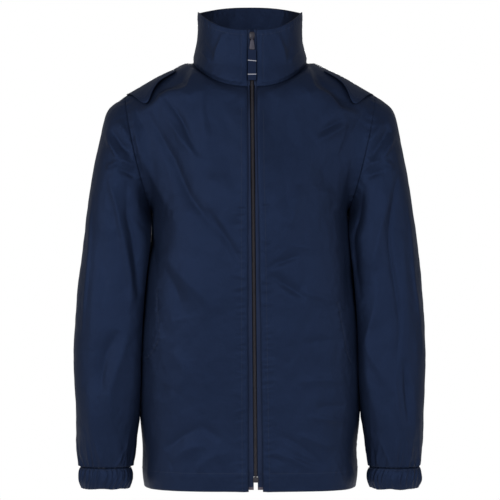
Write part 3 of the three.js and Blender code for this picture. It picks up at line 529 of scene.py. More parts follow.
def side_x(y, z):
    """How far out the body reaches at a depth and a height below the underarm."""
    z = np.clip(z, HEM_Z, UNDERARM_Z)
    half = spline(BODY_SECTIONS["z"], BODY_SECTIONS["half"], z)
    ahead, behind = (spline(BODY_SECTIONS["z"], BODY_SECTIONS[side], z) for side in ("front", "back"))
    reach = np.where(y < UNDERARM_Y, ahead, behind)
    low, high = np.zeros_like(y), np.ones_like(y)
    for _ in range(20):
        t = (low + high) / 2
        flat = (1 - t) ** 3 + 3 * t * (1 - t) ** 2
        at = reach * flat + mix(UNDERARM_Y, reach, CORNER[1]) * 3 * t * t * (1 - t) + UNDERARM_Y * t**3
        beyond = np.abs(at - UNDERARM_Y) > np.abs(y - UNDERARM_Y)
        low, high = np.where(beyond, t, low), np.where(beyond, high, t)
    start, t = 15, low  # about where a front's edge is
    corner = mix(start, half, CORNER[0])
    return start * (1 - t) ** 3 + corner * 3 * t * (1 - t) ** 2 + half * (3 * t**2 - 2 * t**3)


# ---------------------------------------------------------------- faces with their folds
THIN, HEM_THICK = 1.0, 1.7
SEAM_DIP, CUFF_DIP = 0.3, 0.09  # how far the side seams and the sleeves' ends are drawn in
BODY_FOLD, SLEEVE_FOLD = 1.7, 1.9  # what their creases are multiplied by
# How far folds may stand out in front, where the body turns to its side, and at the side.
MOST_RISE, TURNING_RISE, SIDE_RISE = 10, 1.8, 0.4
TURNED_UNDER = (9.6, 11.6)  # where the cloth turned under at a front's edge ends
PLACKET = 10.7  # from a front's edge to its stitch line
CASING_Z = HEM_Z + HEM_CASING
POCKETS = {
    -1: np.array([(-153, -378), (-152, -420), (-151, -464), (-158, -478), (-167, -491), (-175, -497)], float),
    1: np.array([(144, -401), (150, -431), (156, -464), (161, -488), (169, -505)], float),
}


def crumple(world):
    """The cloth's own unevenness, the same on both sides of a seam."""
    broad = 1.5 * noise(world, (58, 80, 100), 40)
    crisp = 1.5 * np.sqrt(noise(world, (34, 46, 60), 43) ** 2 + 0.004) - 0.4
    small = 0.6 * np.sqrt(noise(world, (15, 20, 27), 41) ** 2 + 0.004)
    return broad + crisp + small + 0.22 * noise(world, (8, 10, 13), 42)


def armhole_puckers(points, side, hand):
    """How far points are from the armhole, and the ripples that cross its seam."""
    off, along, _ = near_line(points, armhole(side, np.linspace(0, 1, 49)))
    seed = (200 if side == "front" else 210) + hand
    return off, puckers("armhole", along, off, seed)


def armhole_ways(side, rise, way):
    """Square to the armhole in its plane, and how a wall faces there. way: 1 for the body, else -1."""
    plane = unit(np.array([ARMHOLE["outZ"] - ARMHOLE["inZ"], 0, ARMHOLE["inX"] - ARMHOLE["outX"]]))
    step = armhole(side, np.minimum(rise + 0.02, 1)) - armhole(side, np.maximum(rise - 0.02, 0))
    square = unit(np.cross(plane, step * (1 if side == "front" else -1)))
    square = np.where((rise > 0.99)[:, None], [-plane[2], 0, plane[0]], square)
    share = (np.sin(np.clip(rise, 0, 1) * np.pi / 2) ** 0.6)[:, None]
    return square, unit(square * share + plane * way * (1 - share))


def panel(side, hand):
    """One half of the front or the back: its face with every fold, worked out on the wearer's left."""
    base = fine_panel(side, hand)
    inward = face_normals(base) * (1 if side == "front" else -1)
    low = ROW_RISE <= 0
    inward[low, -1] = 1, 0, 0
    push = inward.copy()
    push[~low, -1], inward[~low, -1] = armhole_ways(side, ROW_RISE[~low], 1)
    for ways in (push, inward):
        ways[-1, :, 1] = 0
        if side == "back":
            ways[ROW_RISE <= NECK_RISE[side], 0, 0] = 0
    push, inward = unit(push), unit(inward)
    world = base * (hand, 1, 1)
    x, z = world[..., 0], world[..., 2]
    arm, ripples = armhole_puckers(base, side, hand)
    push[~low] = unit(mix(push[~low], push[~low, -1:], bump(arm[~low], 11)[..., None]))
    seam, seam_along, _ = near_line(base, base[:LOW_ROWS:3, -1])
    neck = near_line(base, neckline(side, hand, np.linspace(0, 1, 31)))[0]
    top = near_line(base, base[-1, ::6])[0]
    across = lengths(base, 1)
    keep = smooth(0, 9, arm) * smooth(0, 8, seam) * smooth(0, 10, neck) * smooth(0, 6, top)
    seed = 40 if side == "front" else 60
    folds = BODY_FOLD * creases_at(side, x, z)
    ripples = ripples + puckers("side_seam", seam_along, seam, 220 + hand)
    hem = z - CASING_Z
    folds += puckers("hem", x, hem, seed + 4 + hand) - 0.55 * bump(hem, 1.5) + 0.4 * (hem < 0)
    if side == "front":
        edge = across - PLACKET
        placket = (ROW_RISE <= NECK_RISE[side])[:, None]
        folds *= np.where(placket, mix(0.45, 1, smooth(0, 16, across)), 1)
        folds += placket * puckers("zip_edge", z, edge, seed + 6 + hand)
        turned_under = 1 - smooth(*TURNED_UNDER, across)
        folds += placket * (0.5 * turned_under - 0.5 * bump(edge, 1.3) - 0.8 * bump(across, 1.1))
        flat = np.stack([x, z], -1)
        off, along, _ = near_line(flat, POCKETS[hand])
        folds += puckers("pocket", along, off, seed + 8 + hand) - 0.7 * bump(off, 1.6)
    seams = SEAM_DIP * bump(seam, 1.8) * smooth(0, 9, arm)
    calm = smooth(0, 10, neck) * smooth(0, 6, top)
    valley = 4.0 * smooth(0, 13, neck) * (1 - smooth(13, 60, neck)) if side == "front" else 0
    rise = keep * folds + calm * (ripples + crumple(world) + bump(arm, 10)) + valley * smooth(0, 9, arm)
    turned = np.abs(push[..., 0])
    turning, aside = smooth(0.4, 0.65, turned), smooth(0.8, 0.95, turned)
    rise = np.minimum(rise, np.where(low[:, None], mix(MOST_RISE, TURNING_RISE, turning), MOST_RISE))
    rise = np.minimum(rise, mix(MOST_RISE, SIDE_RISE, aside)) - seams
    thick = mix(THIN, HEM_THICK, 1 - smooth(CASING_Z - 2, CASING_Z, z))[..., None]
    if side == "front":
        thick = np.maximum(thick, (THIN + 0.8 * placket * turned_under)[..., None])
    outer = base + push * rise[..., None]
    return {"base": base, "outer": outer, "inner": outer - inward * thick, "inward": inward}


SLEEVE_ROWS, SLEEVE_COLUMNS = 190, 2 * HIGH_ROWS  # the armhole's points match the body's
SLEEVE_ROUND = 300  # about how far it is round a sleeve's end
SLEEVE_LEAN = 9  # how far the front of the underarm side leans toward the body


def sleeve(hand):
    """A sleeve from the cuff up to the armhole, worked out on the wearer's left."""
    middles = [(SLEEVE_RINGS["out" + c] + SLEEVE_RINGS["in" + c]) / 2 for c in "XZ"]
    down = lengths(np.stack(middles, -1))
    at = np.linspace(down[-1], 0, SLEEVE_ROWS)
    ring = {name: spline(down, values, at)[:, None] for name, values in SLEEVE_RINGS.items()}
    boxier = smooth(0, 130, at) * smooth(0, 90, down[-1] - at)
    ring["fullness"] = ring["fullness"] * (1 - 0.2 * boxier)[:, None]
    angle = 2 * np.pi * np.arange(SLEEVE_COLUMNS) / SLEEVE_COLUMNS
    base = ring_point(ring, angle[None])
    ways = face_normals(base, True)
    push = ways.copy()
    for side, pick in (("front", angle <= np.pi), ("back", angle > np.pi)):
        turn = angle[pick] / np.pi
        push[-1, pick], ways[-1, pick] = armhole_ways(side, turn if side == "front" else 2 - turn, -1)
    world = base * (hand, 1, 1)
    x, z = world[..., 0], world[..., 2]
    ahead = (np.sin(angle) > 0)[None]
    arms, ripples = zip(*(armhole_puckers(base, side, hand) for side in ("front", "back")))
    arm, ripples = (np.where(ahead, *pair) for pair in (arms, ripples))
    push = unit(mix(push, push[-1:], bump(arm, 11)[..., None]))
    name = "sleeve_left" if hand > 0 else "sleeve_right"
    faces = np.where(ahead, *(creases_at(name + end, x, z) for end in ("", "_back")))
    folds = SLEEVE_FOLD * smooth(0, 0.5, np.abs(np.sin(angle))) * smooth(0, 9, arm) * faces
    folds = folds + ripples + crumple(world)
    ends = z - SLEEVE_RINGS["outZ"][-1]
    around = np.broadcast_to(np.linspace(0, SLEEVE_ROUND, SLEEVE_COLUMNS), x.shape)
    gathers = puckers("sleeve_end", around, ends, 90 + hand)
    folds += gathers + puckers("sleeve_end_broad", around, ends, 94 + hand)
    rise = smooth(0, 2.6, ends) * folds + bump(arm, 10)
    top = np.linalg.norm(base - armhole("front", np.array([1.0])), axis=-1)
    rise = rise * mix(1, smooth(0, 6, top), bump(arm, 6)) - CUFF_DIP * bump(ends, 2.2)
    outer = base + push * rise[..., None]
    below = outer[..., 2] < UNDERARM_Z
    leaning = np.where(angle < np.pi / 2, np.sin(2 * angle), 0)
    outer[..., 0] -= SLEEVE_LEAN * (leaning * smooth(-255, -300, z) * smooth(-600, -520, z))
    ahead_of_side = smooth(20, 60, UNDERARM_Y - outer[..., 1])
    clear = side_x(outer[..., 1], outer[..., 2]) + CLEAR + 1.6 * ahead_of_side
    outer[..., 0] = np.where(below, np.maximum(outer[..., 0], clear), outer[..., 0])
    return {"base": base, "outer": outer, "inner": outer - ways * THIN}


CUFF = {"top": -677, "bottom": -712, "radius": 47, "bulge": 3.6, "pleat": 1.875}
CUFF_ROWS, CUFF_COLUMNS = 26, 288


def cuff(hand):
    """A gathered cuff: narrow uneven pleats all round, fullest half way down."""
    height = np.linspace(0, 1, CUFF_ROWS)[:, None]
    angle = 2 * np.pi * np.arange(CUFF_COLUMNS) / CUFF_COLUMNS
    around = angle[None] * CUFF["radius"] + 5 * np.sin(height * 3 + 0.6 * hand)
    pleats = puckers("cuff", around, 0 * around, 100 + hand) - 0.5
    pleats = pleats + 0.45 * puckers("cuff_slanting", around + 11 * height, 0 * around, 104 + hand)
    bulge = spline([0, 0.3, 0.6, 0.84, 1], [-0.5, 0.75, 1, 0.7, 0.1], height)
    fold = spline([0, 0.3, 0.75, 1], [0.9, 1, 1, 0.5], height)
    out = CUFF["bulge"] * bulge + CUFF["pleat"] * fold * pleats * smooth(0, 0.1, 1 - height)
    last = {name: values[-1] for name, values in SLEEVE_RINGS.items()}
    grown = dict(last, outX=last["outX"] + out, inX=last["inX"] - out)
    grown.update(front=last["front"] - out, back=last["back"] + out)
    base = ring_point(grown, angle[None])
    wavy = 1.6 * (1 - height) * noise(base, (20, 20, 60), 108 + hand)
    base[..., 2] = mix(CUFF["bottom"], CUFF["top"], height) + wavy
    ways = face_normals(base, True)
    base[..., 0] = np.maximum(base[..., 0], side_x(base[..., 1], base[..., 2]) + CLEAR)
    return {"outer": base, "inner": base - ways * THIN}


COLLAR_ROWS, COLLAR_THICK = 48, 1.4
COLLAR_STITCH = 9  # from the collar's top to its stitch line


def collar_point(side, turn, hand, height):
    """Points of the collar's form at a turn from the middle to the shoulder and a height from 0 to 1."""
    a = (turn if side == "front" else 2 - turn) * np.pi / 2
    foot = neckline(side, hand, turn)[None]
    reach, rim = COLLAR_TOP[side]
    x0 = centre_x(side, hand, 0)
    sin, cos = np.abs(np.sin(a)), np.abs(np.cos(a))
    top_x = x0 + (COLLAR_HALF - x0) * sin**COLLAR_SQUARE
    top_y = SHOULDER_Y + (reach - SHOULDER_Y) * cos**COLLAR_SQUARE
    top_z = mix(COLLAR_SIDE_Z, rim, cos**1.6)
    x = mix(foot[..., 0], top_x, mix(height, 1 - (1 - height) ** 3, sin))
    return np.stack([hand * x, mix(foot[..., 1], top_y, height), mix(foot[..., 2], top_z, height)], -1)


def collar():
    """The standing collar, from the wearer's left front edge round the back to the right one."""
    height = np.linspace(0, 1, COLLAR_ROWS)[:, None]
    ahead, behind = np.linspace(0, 1, 78) ** 1.15, np.linspace(1, 0, 58)[1:]
    left = [collar_point("front", ahead, 1, height), collar_point("back", behind, 1, height)]
    right = [collar_point("back", behind[-2::-1], -1, height), collar_point("front", ahead[::-1], -1, height)]
    base = np.concatenate(left + right, 1)
    ways = face_normals(base)
    x, y, z = np.moveaxis(base, -1, 0)
    front = smooth(SHOULDER_Y + 6, SHOULDER_Y - 18, y)
    foot, along = lengths(base, 0), lengths(base, 1)
    top = foot[-1:] - foot
    ends = np.minimum(along, along[:, -1:] - along)
    folds = front * creases_at("collar", x, z)
    folds = folds + (1 - front) * creases_at("collar_back", x, z)
    lumps = ((0.9, (50, 50, 46), 120), (0.35, (19, 22, 20), 121), (0.1, 8, 122))
    folds += sum(high * noise(base, size, seed) for high, size, seed in lumps)
    below = top - COLLAR_STITCH
    stitch = np.minimum(np.abs(below), np.abs(ends - PLACKET) + 20 * (y > 0))
    folds += puckers("collar_top", along, below, 124) + puckers("collar_foot", along, foot, 126)
    folds += 2.0 * smooth(0, 9, foot) * (1 - smooth(9, 38, foot))
    rise = smooth(0, 7, foot) * mix(0.5, 1, smooth(0, 12, ends)) * folds
    rise = (rise - 0.4 * bump(stitch, 1.2) - 0.5 * bump(ends, 1.1)) * smooth(0, 2.5, foot)
    outer = base + ways * rise[..., None]
    return {"base": base, "outer": outer, "inner": outer - ways * COLLAR_THICK, "inward": ways}


def at_cell(grid, row, column):
    """A grid's points at fractional rows and columns."""
    j = np.clip(np.floor(row).astype(int), 0, grid.shape[0] - 2)
    i = np.clip(np.floor(column).astype(int), 0, grid.shape[1] - 2)
    s, t = (row - j)[..., None], (column - i)[..., None]
    return mix(mix(grid[j, i], grid[j, i + 1], t), mix(grid[j + 1, i], grid[j + 1, i + 1], t), s)


FLAP_ROWS, FLAP_COLUMNS = 34, 90
FLAP_BEHIND = 0.75  # rows of the coarse form from the seam to the flap's sewn edge
FLAP_OFF = 1.7  # from the form to the flap's face where it is sewn on


def flap(front, back, hand):
    """The shoulder flap: sewn just behind the shoulder seam, over it, then free along the front."""
    column = np.linspace(FLAP["column"][0], FLAP["column"][-1], FLAP_COLUMNS)[None]
    fall, lift = (spline(FLAP["column"], FLAP[name], column) for name in ("fall", "lift"))
    step = np.linspace(1, -FLAP_BEHIND, FLAP_ROWS)[:, None]
    per_row = HIGH_ROWS / UPPER_ROWS
    seam_row = LOW_ROWS + HIGH_ROWS - 1
    at = column * (FINE_COLUMNS - 1) / COLUMNS + 0 * step
    ahead = seam_row - per_row * fall * np.maximum(step, 0)
    behind = seam_row + per_row * np.minimum(step, 0 * at)
    over = step[..., None] < 0
    keys = ("base", "inward")
    base, ways = (np.where(over, at_cell(back[k], behind, at), at_cell(front[k], ahead, at)) for k in keys)
    ways = unit(ways)
    free = np.clip(step, 0, 1)
    world = base * (hand, 1, 1)
    uneven = 0.7 * noise(world, (26, 30, 26), 130) + 0.25 * noise(world, 10, 131)
    near = FLAP_OFF + lift * free**0.8 + free * uneven
    near = near - 0.35 * bump((1 - step) * fall * per_row * 2.4 - 5, 1.2)  # its line of stitches
    outer = base + ways * near[..., None]
    return {"outer": outer, "inner": outer - ways * 0.9, "inward": ways}


BAG_LEVELS, BAG_COLUMN = (-501, -385), 5  # the pocket bag's ends, and the coarse column of its inner edge


def pocket_bag(front):
    """The pocket's bag, flat behind the front and open at the side seam."""
    rows = (ROW_RISE <= 0) & (ROW_Z >= BAG_LEVELS[0]) & (ROW_Z <= BAG_LEVELS[1])
    first = int(BAG_COLUMN * (FINE_COLUMNS - 1) / COLUMNS)
    inner, ways = front["inner"][rows, first:], front["inward"][rows, first:]
    outer = inner - ways * 0.5
    return {"outer": outer[::2, ::2], "inner": (outer - ways * 0.7)[::2, ::2]}


WALL, CASING_WALL = 1.6, 2.6  # the part's walls, behind which the tapes lie
# A tape lies behind the wall, from beside the zip line to under the front.
TAPE = {"behind": 0.55, "from_zip": 3.3, "under": 6.5}


def zip_tape(front, collar_face, hand):
    """A zip tape behind the front's zip edge, from the hem to the collar's top."""
    rows, own = ROW_RISE <= NECK_RISE["front"], (hand, 1, 1)

    def up_edge(key, column):
        on_collar = collar_face[key][1:, column if hand > 0 else -1 - column] * own
        return np.concatenate([front[key][rows, column], on_collar])

    edge = up_edge("base", 0)
    way = unit(up_edge("base", 6) - edge)
    faces = unit(up_edge("inward", 0) * (0, 1, 1))
    casing = np.arange(len(edge)) < np.sum(ROW_Z[rows] < CASING_Z - 1)
    sunk = np.where(casing, CASING_WALL, WALL)[:, None] + TAPE["behind"]
    near = TAPE["from_zip"] - mix(*FRONT_GAP, down_zip(edge[:, 2]))
    reach = np.linspace(near, TAPE["under"], 12, axis=1)
    base = edge[:, None] - (faces * sunk)[:, None] + way[:, None] * reach[..., None]
    faces = np.broadcast_to(faces[:, None], base.shape)
    along = lengths(base, 0)
    ribs = 0.12 * np.sin(along / 1.6) * (reach > near[:, None] + 1.2)
    ripple = 0.22 * noise(base, (12, 8, 15), 140 + hand) + ribs
    outer = base + faces * (0.4 + ripple)[..., None]
    return {"base": base, "outer": outer[1:], "inner": (outer - faces * 0.8)[1:]}


# ---------------------------------------------------------------- meshes
def add_object(name, data):
    piece = bpy.data.objects.new(name, data)
    bpy.context.scene.collection.objects.link(piece)
    return piece


def add_mesh(name, points, faces, uv=None, rounded=None):
    """An object from points in millimetres and four-cornered faces, the first of them smooth."""
    mesh = bpy.data.meshes.new(name)
    mesh.vertices.add(len(points))
    mesh.vertices.foreach_set("co", (np.asarray(points, float) / 1000).ravel())
    faces = np.asarray(faces, np.int32)
    sizes = np.full(len(faces), faces.shape[1], np.int32)
    mesh.loops.add(faces.size)
    mesh.loops.foreach_set("vertex_index", faces.ravel())
    mesh.polygons.add(len(faces))
    mesh.polygons.foreach_set("loop_start", np.cumsum(sizes) - sizes)
    rounded = len(faces) if rounded is None else rounded
    mesh.polygons.foreach_set("use_smooth", np.arange(len(faces)) < rounded)
    if uv is not None:
        layer = mesh.uv_layers.new(name="cloth")
        layer.uv.foreach_set("vector", (np.asarray(uv, float) / 1000).ravel())
    mesh.update(calc_edges=True)
    mesh.validate()
    return add_object(name, mesh)


def quads(a, b, c, d):
    return np.stack([a, b, c, d], -1).reshape(-1, 4)


def grid_quads(ids):
    return quads(ids[:-1, :-1], ids[:-1, 1:], ids[1:, 1:], ids[1:, :-1])


def cloth(name, faces, hand=1, turned=False, wrap=False, open_first=0):
    """A closed shell between a face's two layers, with no rim at its first column below row open_first."""
    outer, inner = faces["outer"], faces["inner"]
    rows, cols = outer.shape[:2]
    ids = np.arange(rows * cols).reshape(rows, cols)
    spots = np.arange(rows * (cols + 1)).reshape(rows, cols + 1)
    ids = np.concatenate([ids, ids[:, :1]], 1) if wrap else ids
    spots = spots if wrap else spots[:, :-1]
    ring = np.concatenate([outer, outer[:, :1]], 1)
    spot_uv = np.stack([lengths(ring, 1), lengths(ring, 0)], -1).reshape(-1, 2)
    under = ids + rows * cols

    def rim(line, below):
        return quads(below[:-1], below[1:], line[1:], line[:-1])

    parts = [(grid_quads(ids), grid_quads(spots)), (grid_quads(under)[:, ::-1], grid_quads(spots)[:, ::-1])]
    rims = [((0, slice(None)), False), ((-1, slice(None)), True)]
    if not wrap:
        rims += [((slice(None), 0), True), ((slice(None), -1), False)]
    for pick, backward in rims:
        lines = [ids[pick], under[pick], spots[pick]]
        if pick == (slice(None), 0):
            lines = [line[open_first:] for line in lines]
        line, below, spot = (line[::-1] for line in lines) if backward else lines
        parts.append((rim(line, below), rim(spot, spot)))
    corners = np.concatenate([p[0] for p in parts])
    places = np.concatenate([p[1] for p in parts])
    if turned != (hand < 0):
        corners, places = corners[:, ::-1], places[:, ::-1]
    points = np.concatenate([outer.reshape(-1, 3), inner.reshape(-1, 3)]) * (hand, 1, 1)
    piece = add_mesh(name, points, corners, spot_uv[places] * (hand, 1), 2 * len(parts[0][0]))
    inside = piece.data.attributes.new("inside", "FLOAT", "POINT")
    inside.data.foreach_set("value", np.repeat([0.0, 1.0], rows * cols).astype(np.float32))
    return piece


def whole_back(halves):
    """The back in one piece: its two halves joined down the middle below the neckline."""
    seam_row = int(np.sum(ROW_RISE <= NECK_RISE["back"] + 1e-9)) - 1
    left, right = (cloth(f"back_{hand}", halves[hand], hand, True, open_first=seam_row) for hand in (1, -1))
    mesh = bmesh.new()
    mesh.from_mesh(left.data)
    mesh.from_mesh(right.data)
    middle = [v for v in mesh.verts if abs(v.co.x) < 1e-7]
    bmesh.ops.remove_doubles(mesh, verts=middle, dist=1e-7)
    mesh.to_mesh(left.data)
    mesh.free()
    bpy.data.objects.remove(right)
    left.name = left.data.name = "back_cloth"
    return left


# The rings of a short bar: the share of its length, the size and the lift of each.
BAR_RINGS = ((0, 0.25, -0.6), (0.14, 0.85, 0.35), (0.5, 1, 1), (0.86, 0.85, 0.35), (1, 0.25, -0.6))


def bars(starts, ends, faces, radius, arch, flat=1.0, sides=5):
    """The points and faces of rounded bars, such as stitches and zip teeth, that rise in the middle."""
    way = unit(ends - starts)
    across = unit(np.cross(way, faces))
    up = unit(np.cross(across, way))
    turn = 2 * np.pi * np.arange(sides) / sides
    spread = across[:, None] * np.cos(turn)[:, None] + up[:, None] * (flat * np.sin(turn))[:, None]
    rings = []
    for share, size, lift in BAR_RINGS:
        middle = mix(starts, ends, share) + up * (arch * lift)
        rings.append(middle[:, None] + spread * (radius * size))
    points = np.stack(rings, 1)
    count, levels = points.shape[:2]
    ids = np.arange(count * levels * sides).reshape(count, levels, sides)
    ids = np.concatenate([ids, ids[..., :1]], -1)
    corners = quads(ids[:, :-1, :-1], ids[:, :-1, 1:], ids[:, 1:, 1:], ids[:, 1:, :-1])
    return points.reshape(-1, 3), corners


def run_of(points, ways, pitch):
    """Even steps along a line of points on cloth, with the way the cloth faces at each."""
    at = lengths(points)
    steps = np.arange(0, at[-1], pitch)
    place = np.stack([np.interp(steps, at, points[:, k]) for k in range(3)], -1)
    face = unit(np.stack([np.interp(steps, at, ways[:, k]) for k in range(3)], -1))
    return place, face


STITCH = {"pitch": 3.3, "share": 0.74, "radius": 0.24, "arch": 0.3}  # share: how much of the pitch is thread


def stitches(points, ways):
    place, face = run_of(points, ways, STITCH["pitch"])
    ends = place[:-1] + (place[1:] - place[:-1]) * STITCH["share"]
    return bars(place[:-1], ends, face[:-1], STITCH["radius"], STITCH["arch"])


def joined(name, parts):
    """One object of several sets of points and faces."""
    start, points, corners = 0, [], []
    for p, f in parts:
        points.append(p)
        corners.append(f + start)
        start += len(p)
    return add_mesh(name, np.concatenate(points), np.concatenate(corners))


def solid(name, outline, thick, bevel, segments=2):
    """A plate facing forward from an outline of x and z, its edges rounded."""
    mesh = bmesh.new()
    front = [mesh.verts.new((x, -thick / 2, z)) for x, z in outline]
    face = mesh.faces.new(front)
    made = bmesh.ops.extrude_face_region(mesh, geom=[face])
    moved = [v for v in made["geom"] if isinstance(v, bmesh.types.BMVert)]
    bmesh.ops.translate(mesh, verts=moved, vec=(0, thick, 0))
    bmesh.ops.recalc_face_normals(mesh, faces=mesh.faces)
    how = {"segments": segments, "profile": 0.6, "affect": "EDGES", "clamp_overlap": True}
    bmesh.ops.bevel(mesh, geom=mesh.edges[:], offset=bevel, **how)
    bmesh.ops.triangulate(mesh, faces=[f for f in mesh.faces if len(f.verts) > 4])
    return finish(name, mesh)


def finish(name, mesh):
    """An object from a bmesh in millimetres, with flat coordinates across its front."""
    layer = mesh.loops.layers.uv.new("cloth")
    for face in mesh.faces:
        face.smooth = True
        for loop in face.loops:
            loop[layer].uv = (loop.vert.co.x / 1000, loop.vert.co.z / 1000)
    bmesh.ops.scale(mesh, vec=(0.001, 0.001, 0.001), verts=mesh.verts)
    return from_bmesh(name, mesh)


def from_bmesh(name, mesh):
    data = bpy.data.meshes.new(name)
    mesh.to_mesh(data)
    mesh.free()
    return add_object(name, data)


def turned_ring(name, section, segments):
    """A ring about the X axis from its section, pairs of x and radius."""
    mesh = bmesh.new()
    rings = []
    for k in range(segments):
        a = 2 * math.pi * k / segments
        rings.append([mesh.verts.new((x, r * math.cos(a), r * math.sin(a))) for x, r in section])
    for k in range(segments):
        here, there = rings[k], rings[(k + 1) % segments]
        for i in range(len(section)):
            j = (i + 1) % len(section)
            mesh.faces.new((here[i], here[j], there[j], there[i]))
    bmesh.ops.recalc_face_normals(mesh, faces=mesh.faces)
    return finish(name, mesh)


def merge(name, pieces):
    """Several objects as one mesh."""
    mesh = bmesh.new()
    for piece in pieces:
        mesh.from_mesh(piece.data)
        bpy.data.objects.remove(piece)
    return from_bmesh(name, mesh)


def mirror(half):
    """A whole outline from its half on the wearer's left."""
    return list(half) + [(-x, z) for x, z in reversed(half)]


# ---------------------------------------------------------------- materials
def new_material(name, roughness, specular, metallic=0.0, tint=(1, 1, 1)):
    mat = bpy.data.materials.new(name)
    mat.use_nodes = True
    shader = mat.node_tree.nodes["Principled BSDF"]
    keys = ("Metallic", "Roughness", "Specular IOR Level", "Specular Tint")
    for key, value in zip(keys, (metallic, roughness, specular, (*tint, 1))):
        shader.inputs[key].default_value = value
    return mat, shader


def node(tree, kind, links=(), **values):
    """A node with its settings, its inputs' values and its incoming links."""
    made = tree.nodes.new("ShaderNode" + kind)
    for key, value in values.items():
        if key in made.inputs:
            made.inputs[key].default_value = value
        else:
            setattr(made, key, value)
    for key, source in dict(links).items():
        tree.links.new(source, made.inputs[key])
    return made


def grain(tree, where, scale, detail=2.0):
    return node(tree, "TexNoise", {"Vector": where}, Scale=scale, Detail=detail, Roughness=0.5).outputs["Fac"]


def object_place(tree):
    return node(tree, "TexCoord").outputs["Object"]


def cloth_place(tree):
    return node(tree, "UVMap", uv_map="cloth").outputs["UV"]


def fill(tree, slots, values):
    """Each input's link, its colour or its number."""
    for slot, value in zip(slots, values):
        if isinstance(value, bpy.types.NodeSocket):
            tree.links.new(value, slot)
        else:
            slot.default_value = (*value, 1) if isinstance(value, tuple) else value


def math_node(tree, operation, a, b=0):
    made = node(tree, "Math", operation=operation)
    fill(tree, made.inputs, (a, b))
    return made.outputs[0]


def blend_colour(tree, share, a, b):
    made = node(tree, "Mix", data_type="RGBA")
    fill(tree, (made.inputs[0], made.inputs[6], made.inputs[7]), (share, a, b))
    return made.outputs[2]


def ramp(tree, value, low, high):
    return node(tree, "MapRange", {"Value": value}, **{"From Min": low, "From Max": high}).outputs[0]


def bump_chain(tree, shader, heights):
    """Bumps of several sizes, each with its depth in millimetres."""
    last = None
    for height, depth in heights:
        made = node(tree, "Bump", {"Height": height}, Strength=1.0, Distance=depth / 1000)
        if last is not None:
            tree.links.new(last, made.inputs["Normal"])
        last = made.outputs["Normal"]
    tree.links.new(last, shader.inputs["Normal"])


def weave(tree, pitch):
    """Crossing threads, on the cloth's own coordinates."""
    where, scale = {"Vector": cloth_place(tree)}, math.pi / (10 * pitch / 1000)
    bands = [node(tree, "TexWave", where, Scale=scale, Distortion=0.0, bands_direction=d) for d in "XY"]
    return math_node(tree, "MULTIPLY", *(band.outputs["Fac"] for band in bands))


PAINTED_INSIDE_SHADE = (0.0036, 0.0046, 0.0085)  # the inner layer's colour: painted shade, darker and greyer, for the shadowed inside of the jacket


def cloth_material(name, dark, light, roughness, pitch, crinkle=0.5, specular=0.25):
    """Woven nylon in two tones, darker between the threads, with a blue sheen and painted shade on its inner
    layer.
    """
    mat, shader = new_material(name, roughness, specular, tint=(0.22, 0.40, 1.0))
    tree = mat.node_tree
    where = object_place(tree)
    broad = ramp(tree, grain(tree, where, 14, 3), 0.35, 0.65)
    threads = weave(tree, pitch)
    tone = blend_colour(tree, broad, dark, light)
    deep = tuple(0.8 * c for c in dark)
    tone = blend_colour(tree, ramp(tree, threads, -0.6, 1.0), deep, tone)
    inside = node(tree, "Attribute", attribute_name="inside").outputs["Fac"]
    # painted shade: the inner layer gets a darker colour that stands for the shade inside the jacket
    tree.links.new(blend_colour(tree, inside, tone, PAINTED_INSIDE_SHADE), shader.inputs["Base Color"])
    worn = math_node(tree, "MULTIPLY", grain(tree, where, 60), 0.12)
    tree.links.new(math_node(tree, "ADD", worn, roughness - 0.06), shader.inputs["Roughness"])
    wrinkles = [(grain(tree, where, 110, 3), 0.9 * crinkle), (grain(tree, where, 380), 0.16 * crinkle)]
    bump_chain(tree, shader, [(threads, 0.05)] + wrinkles)
    return mat


def plain_material(name, dark, light, roughness, metallic, scale, depth, specular=0.5):
    """Metal, plastic or thread with an uneven tone and a worn surface."""
    mat, shader = new_material(name, roughness, specular, metallic)
    tree = mat.node_tree
    where = object_place(tree)
    share = ramp(tree, grain(tree, where, scale, 3), 0.3, 0.7)
    tree.links.new(blend_colour(tree, share, dark, light), shader.inputs["Base Color"])
    worn = math_node(tree, "MULTIPLY", grain(tree, where, 3 * scale), 0.2)
    tree.links.new(math_node(tree, "ADD", worn, roughness - 0.1), shader.inputs["Roughness"])
    bump_chain(tree, shader, [(grain(tree, where, 4 * scale), depth)])
    return mat


# Cloth: dark and light tones, roughness, the threads' pitch, crinkle and sheen.
for_cloth = {
    "shell_nylon": ((0.0068, 0.0108, 0.0240), (0.0082, 0.0130, 0.0290), 0.45, 0.45),
    "zip_tape_weave": ((0.0115, 0.0155, 0.030), (0.0140, 0.0190, 0.037), 0.6, 0.9, 0.2),
    "strap_webbing": ((0.010, 0.015, 0.034), (0.013, 0.020, 0.045), 0.72, 1.1, 0.2, 0.12),
}
# Thread, plastic and metal: dark and light tones, roughness, metal, the grain's scale and depth, and sheen.
for_rest = {
    "thread": ((0.012, 0.019, 0.042), (0.016, 0.026, 0.058), 0.6, 0, 300, 0.02),
    "coil_nylon": ((0.013, 0.0115, 0.016), (0.022, 0.019, 0.024), 0.5, 0, 200, 0.03, 0.3),
    "slider_metal": ((0.012, 0.011, 0.016), (0.028, 0.025, 0.036), 0.42, 0.5, 150, 0.02),
    "tab_metal": ((0.028, 0.026, 0.040), (0.044, 0.041, 0.060), 0.5, 0.4, 150, 0.02),
}
shell_mat, tape_mat, strap_mat = (cloth_material(name, *how) for name, how in for_cloth.items())
thread_mat, coil_mat, slider_mat, tab_mat = (plain_material(name, *how) for name, how in for_rest.items())


def stripe(tree, where, level, half, slope):
    """1 inside a band across the strap, on its flat coordinates, and 0 outside."""
    split = node(tree, "SeparateXYZ", {"Vector": where}).outputs
    height = math_node(tree, "ADD", split[1], math_node(tree, "MULTIPLY", split[0], slope))
    off = math_node(tree, "ABSOLUTE", math_node(tree, "ADD", height, -level / 1000))
    return math_node(tree, "LESS_THAN", off, half / 1000)


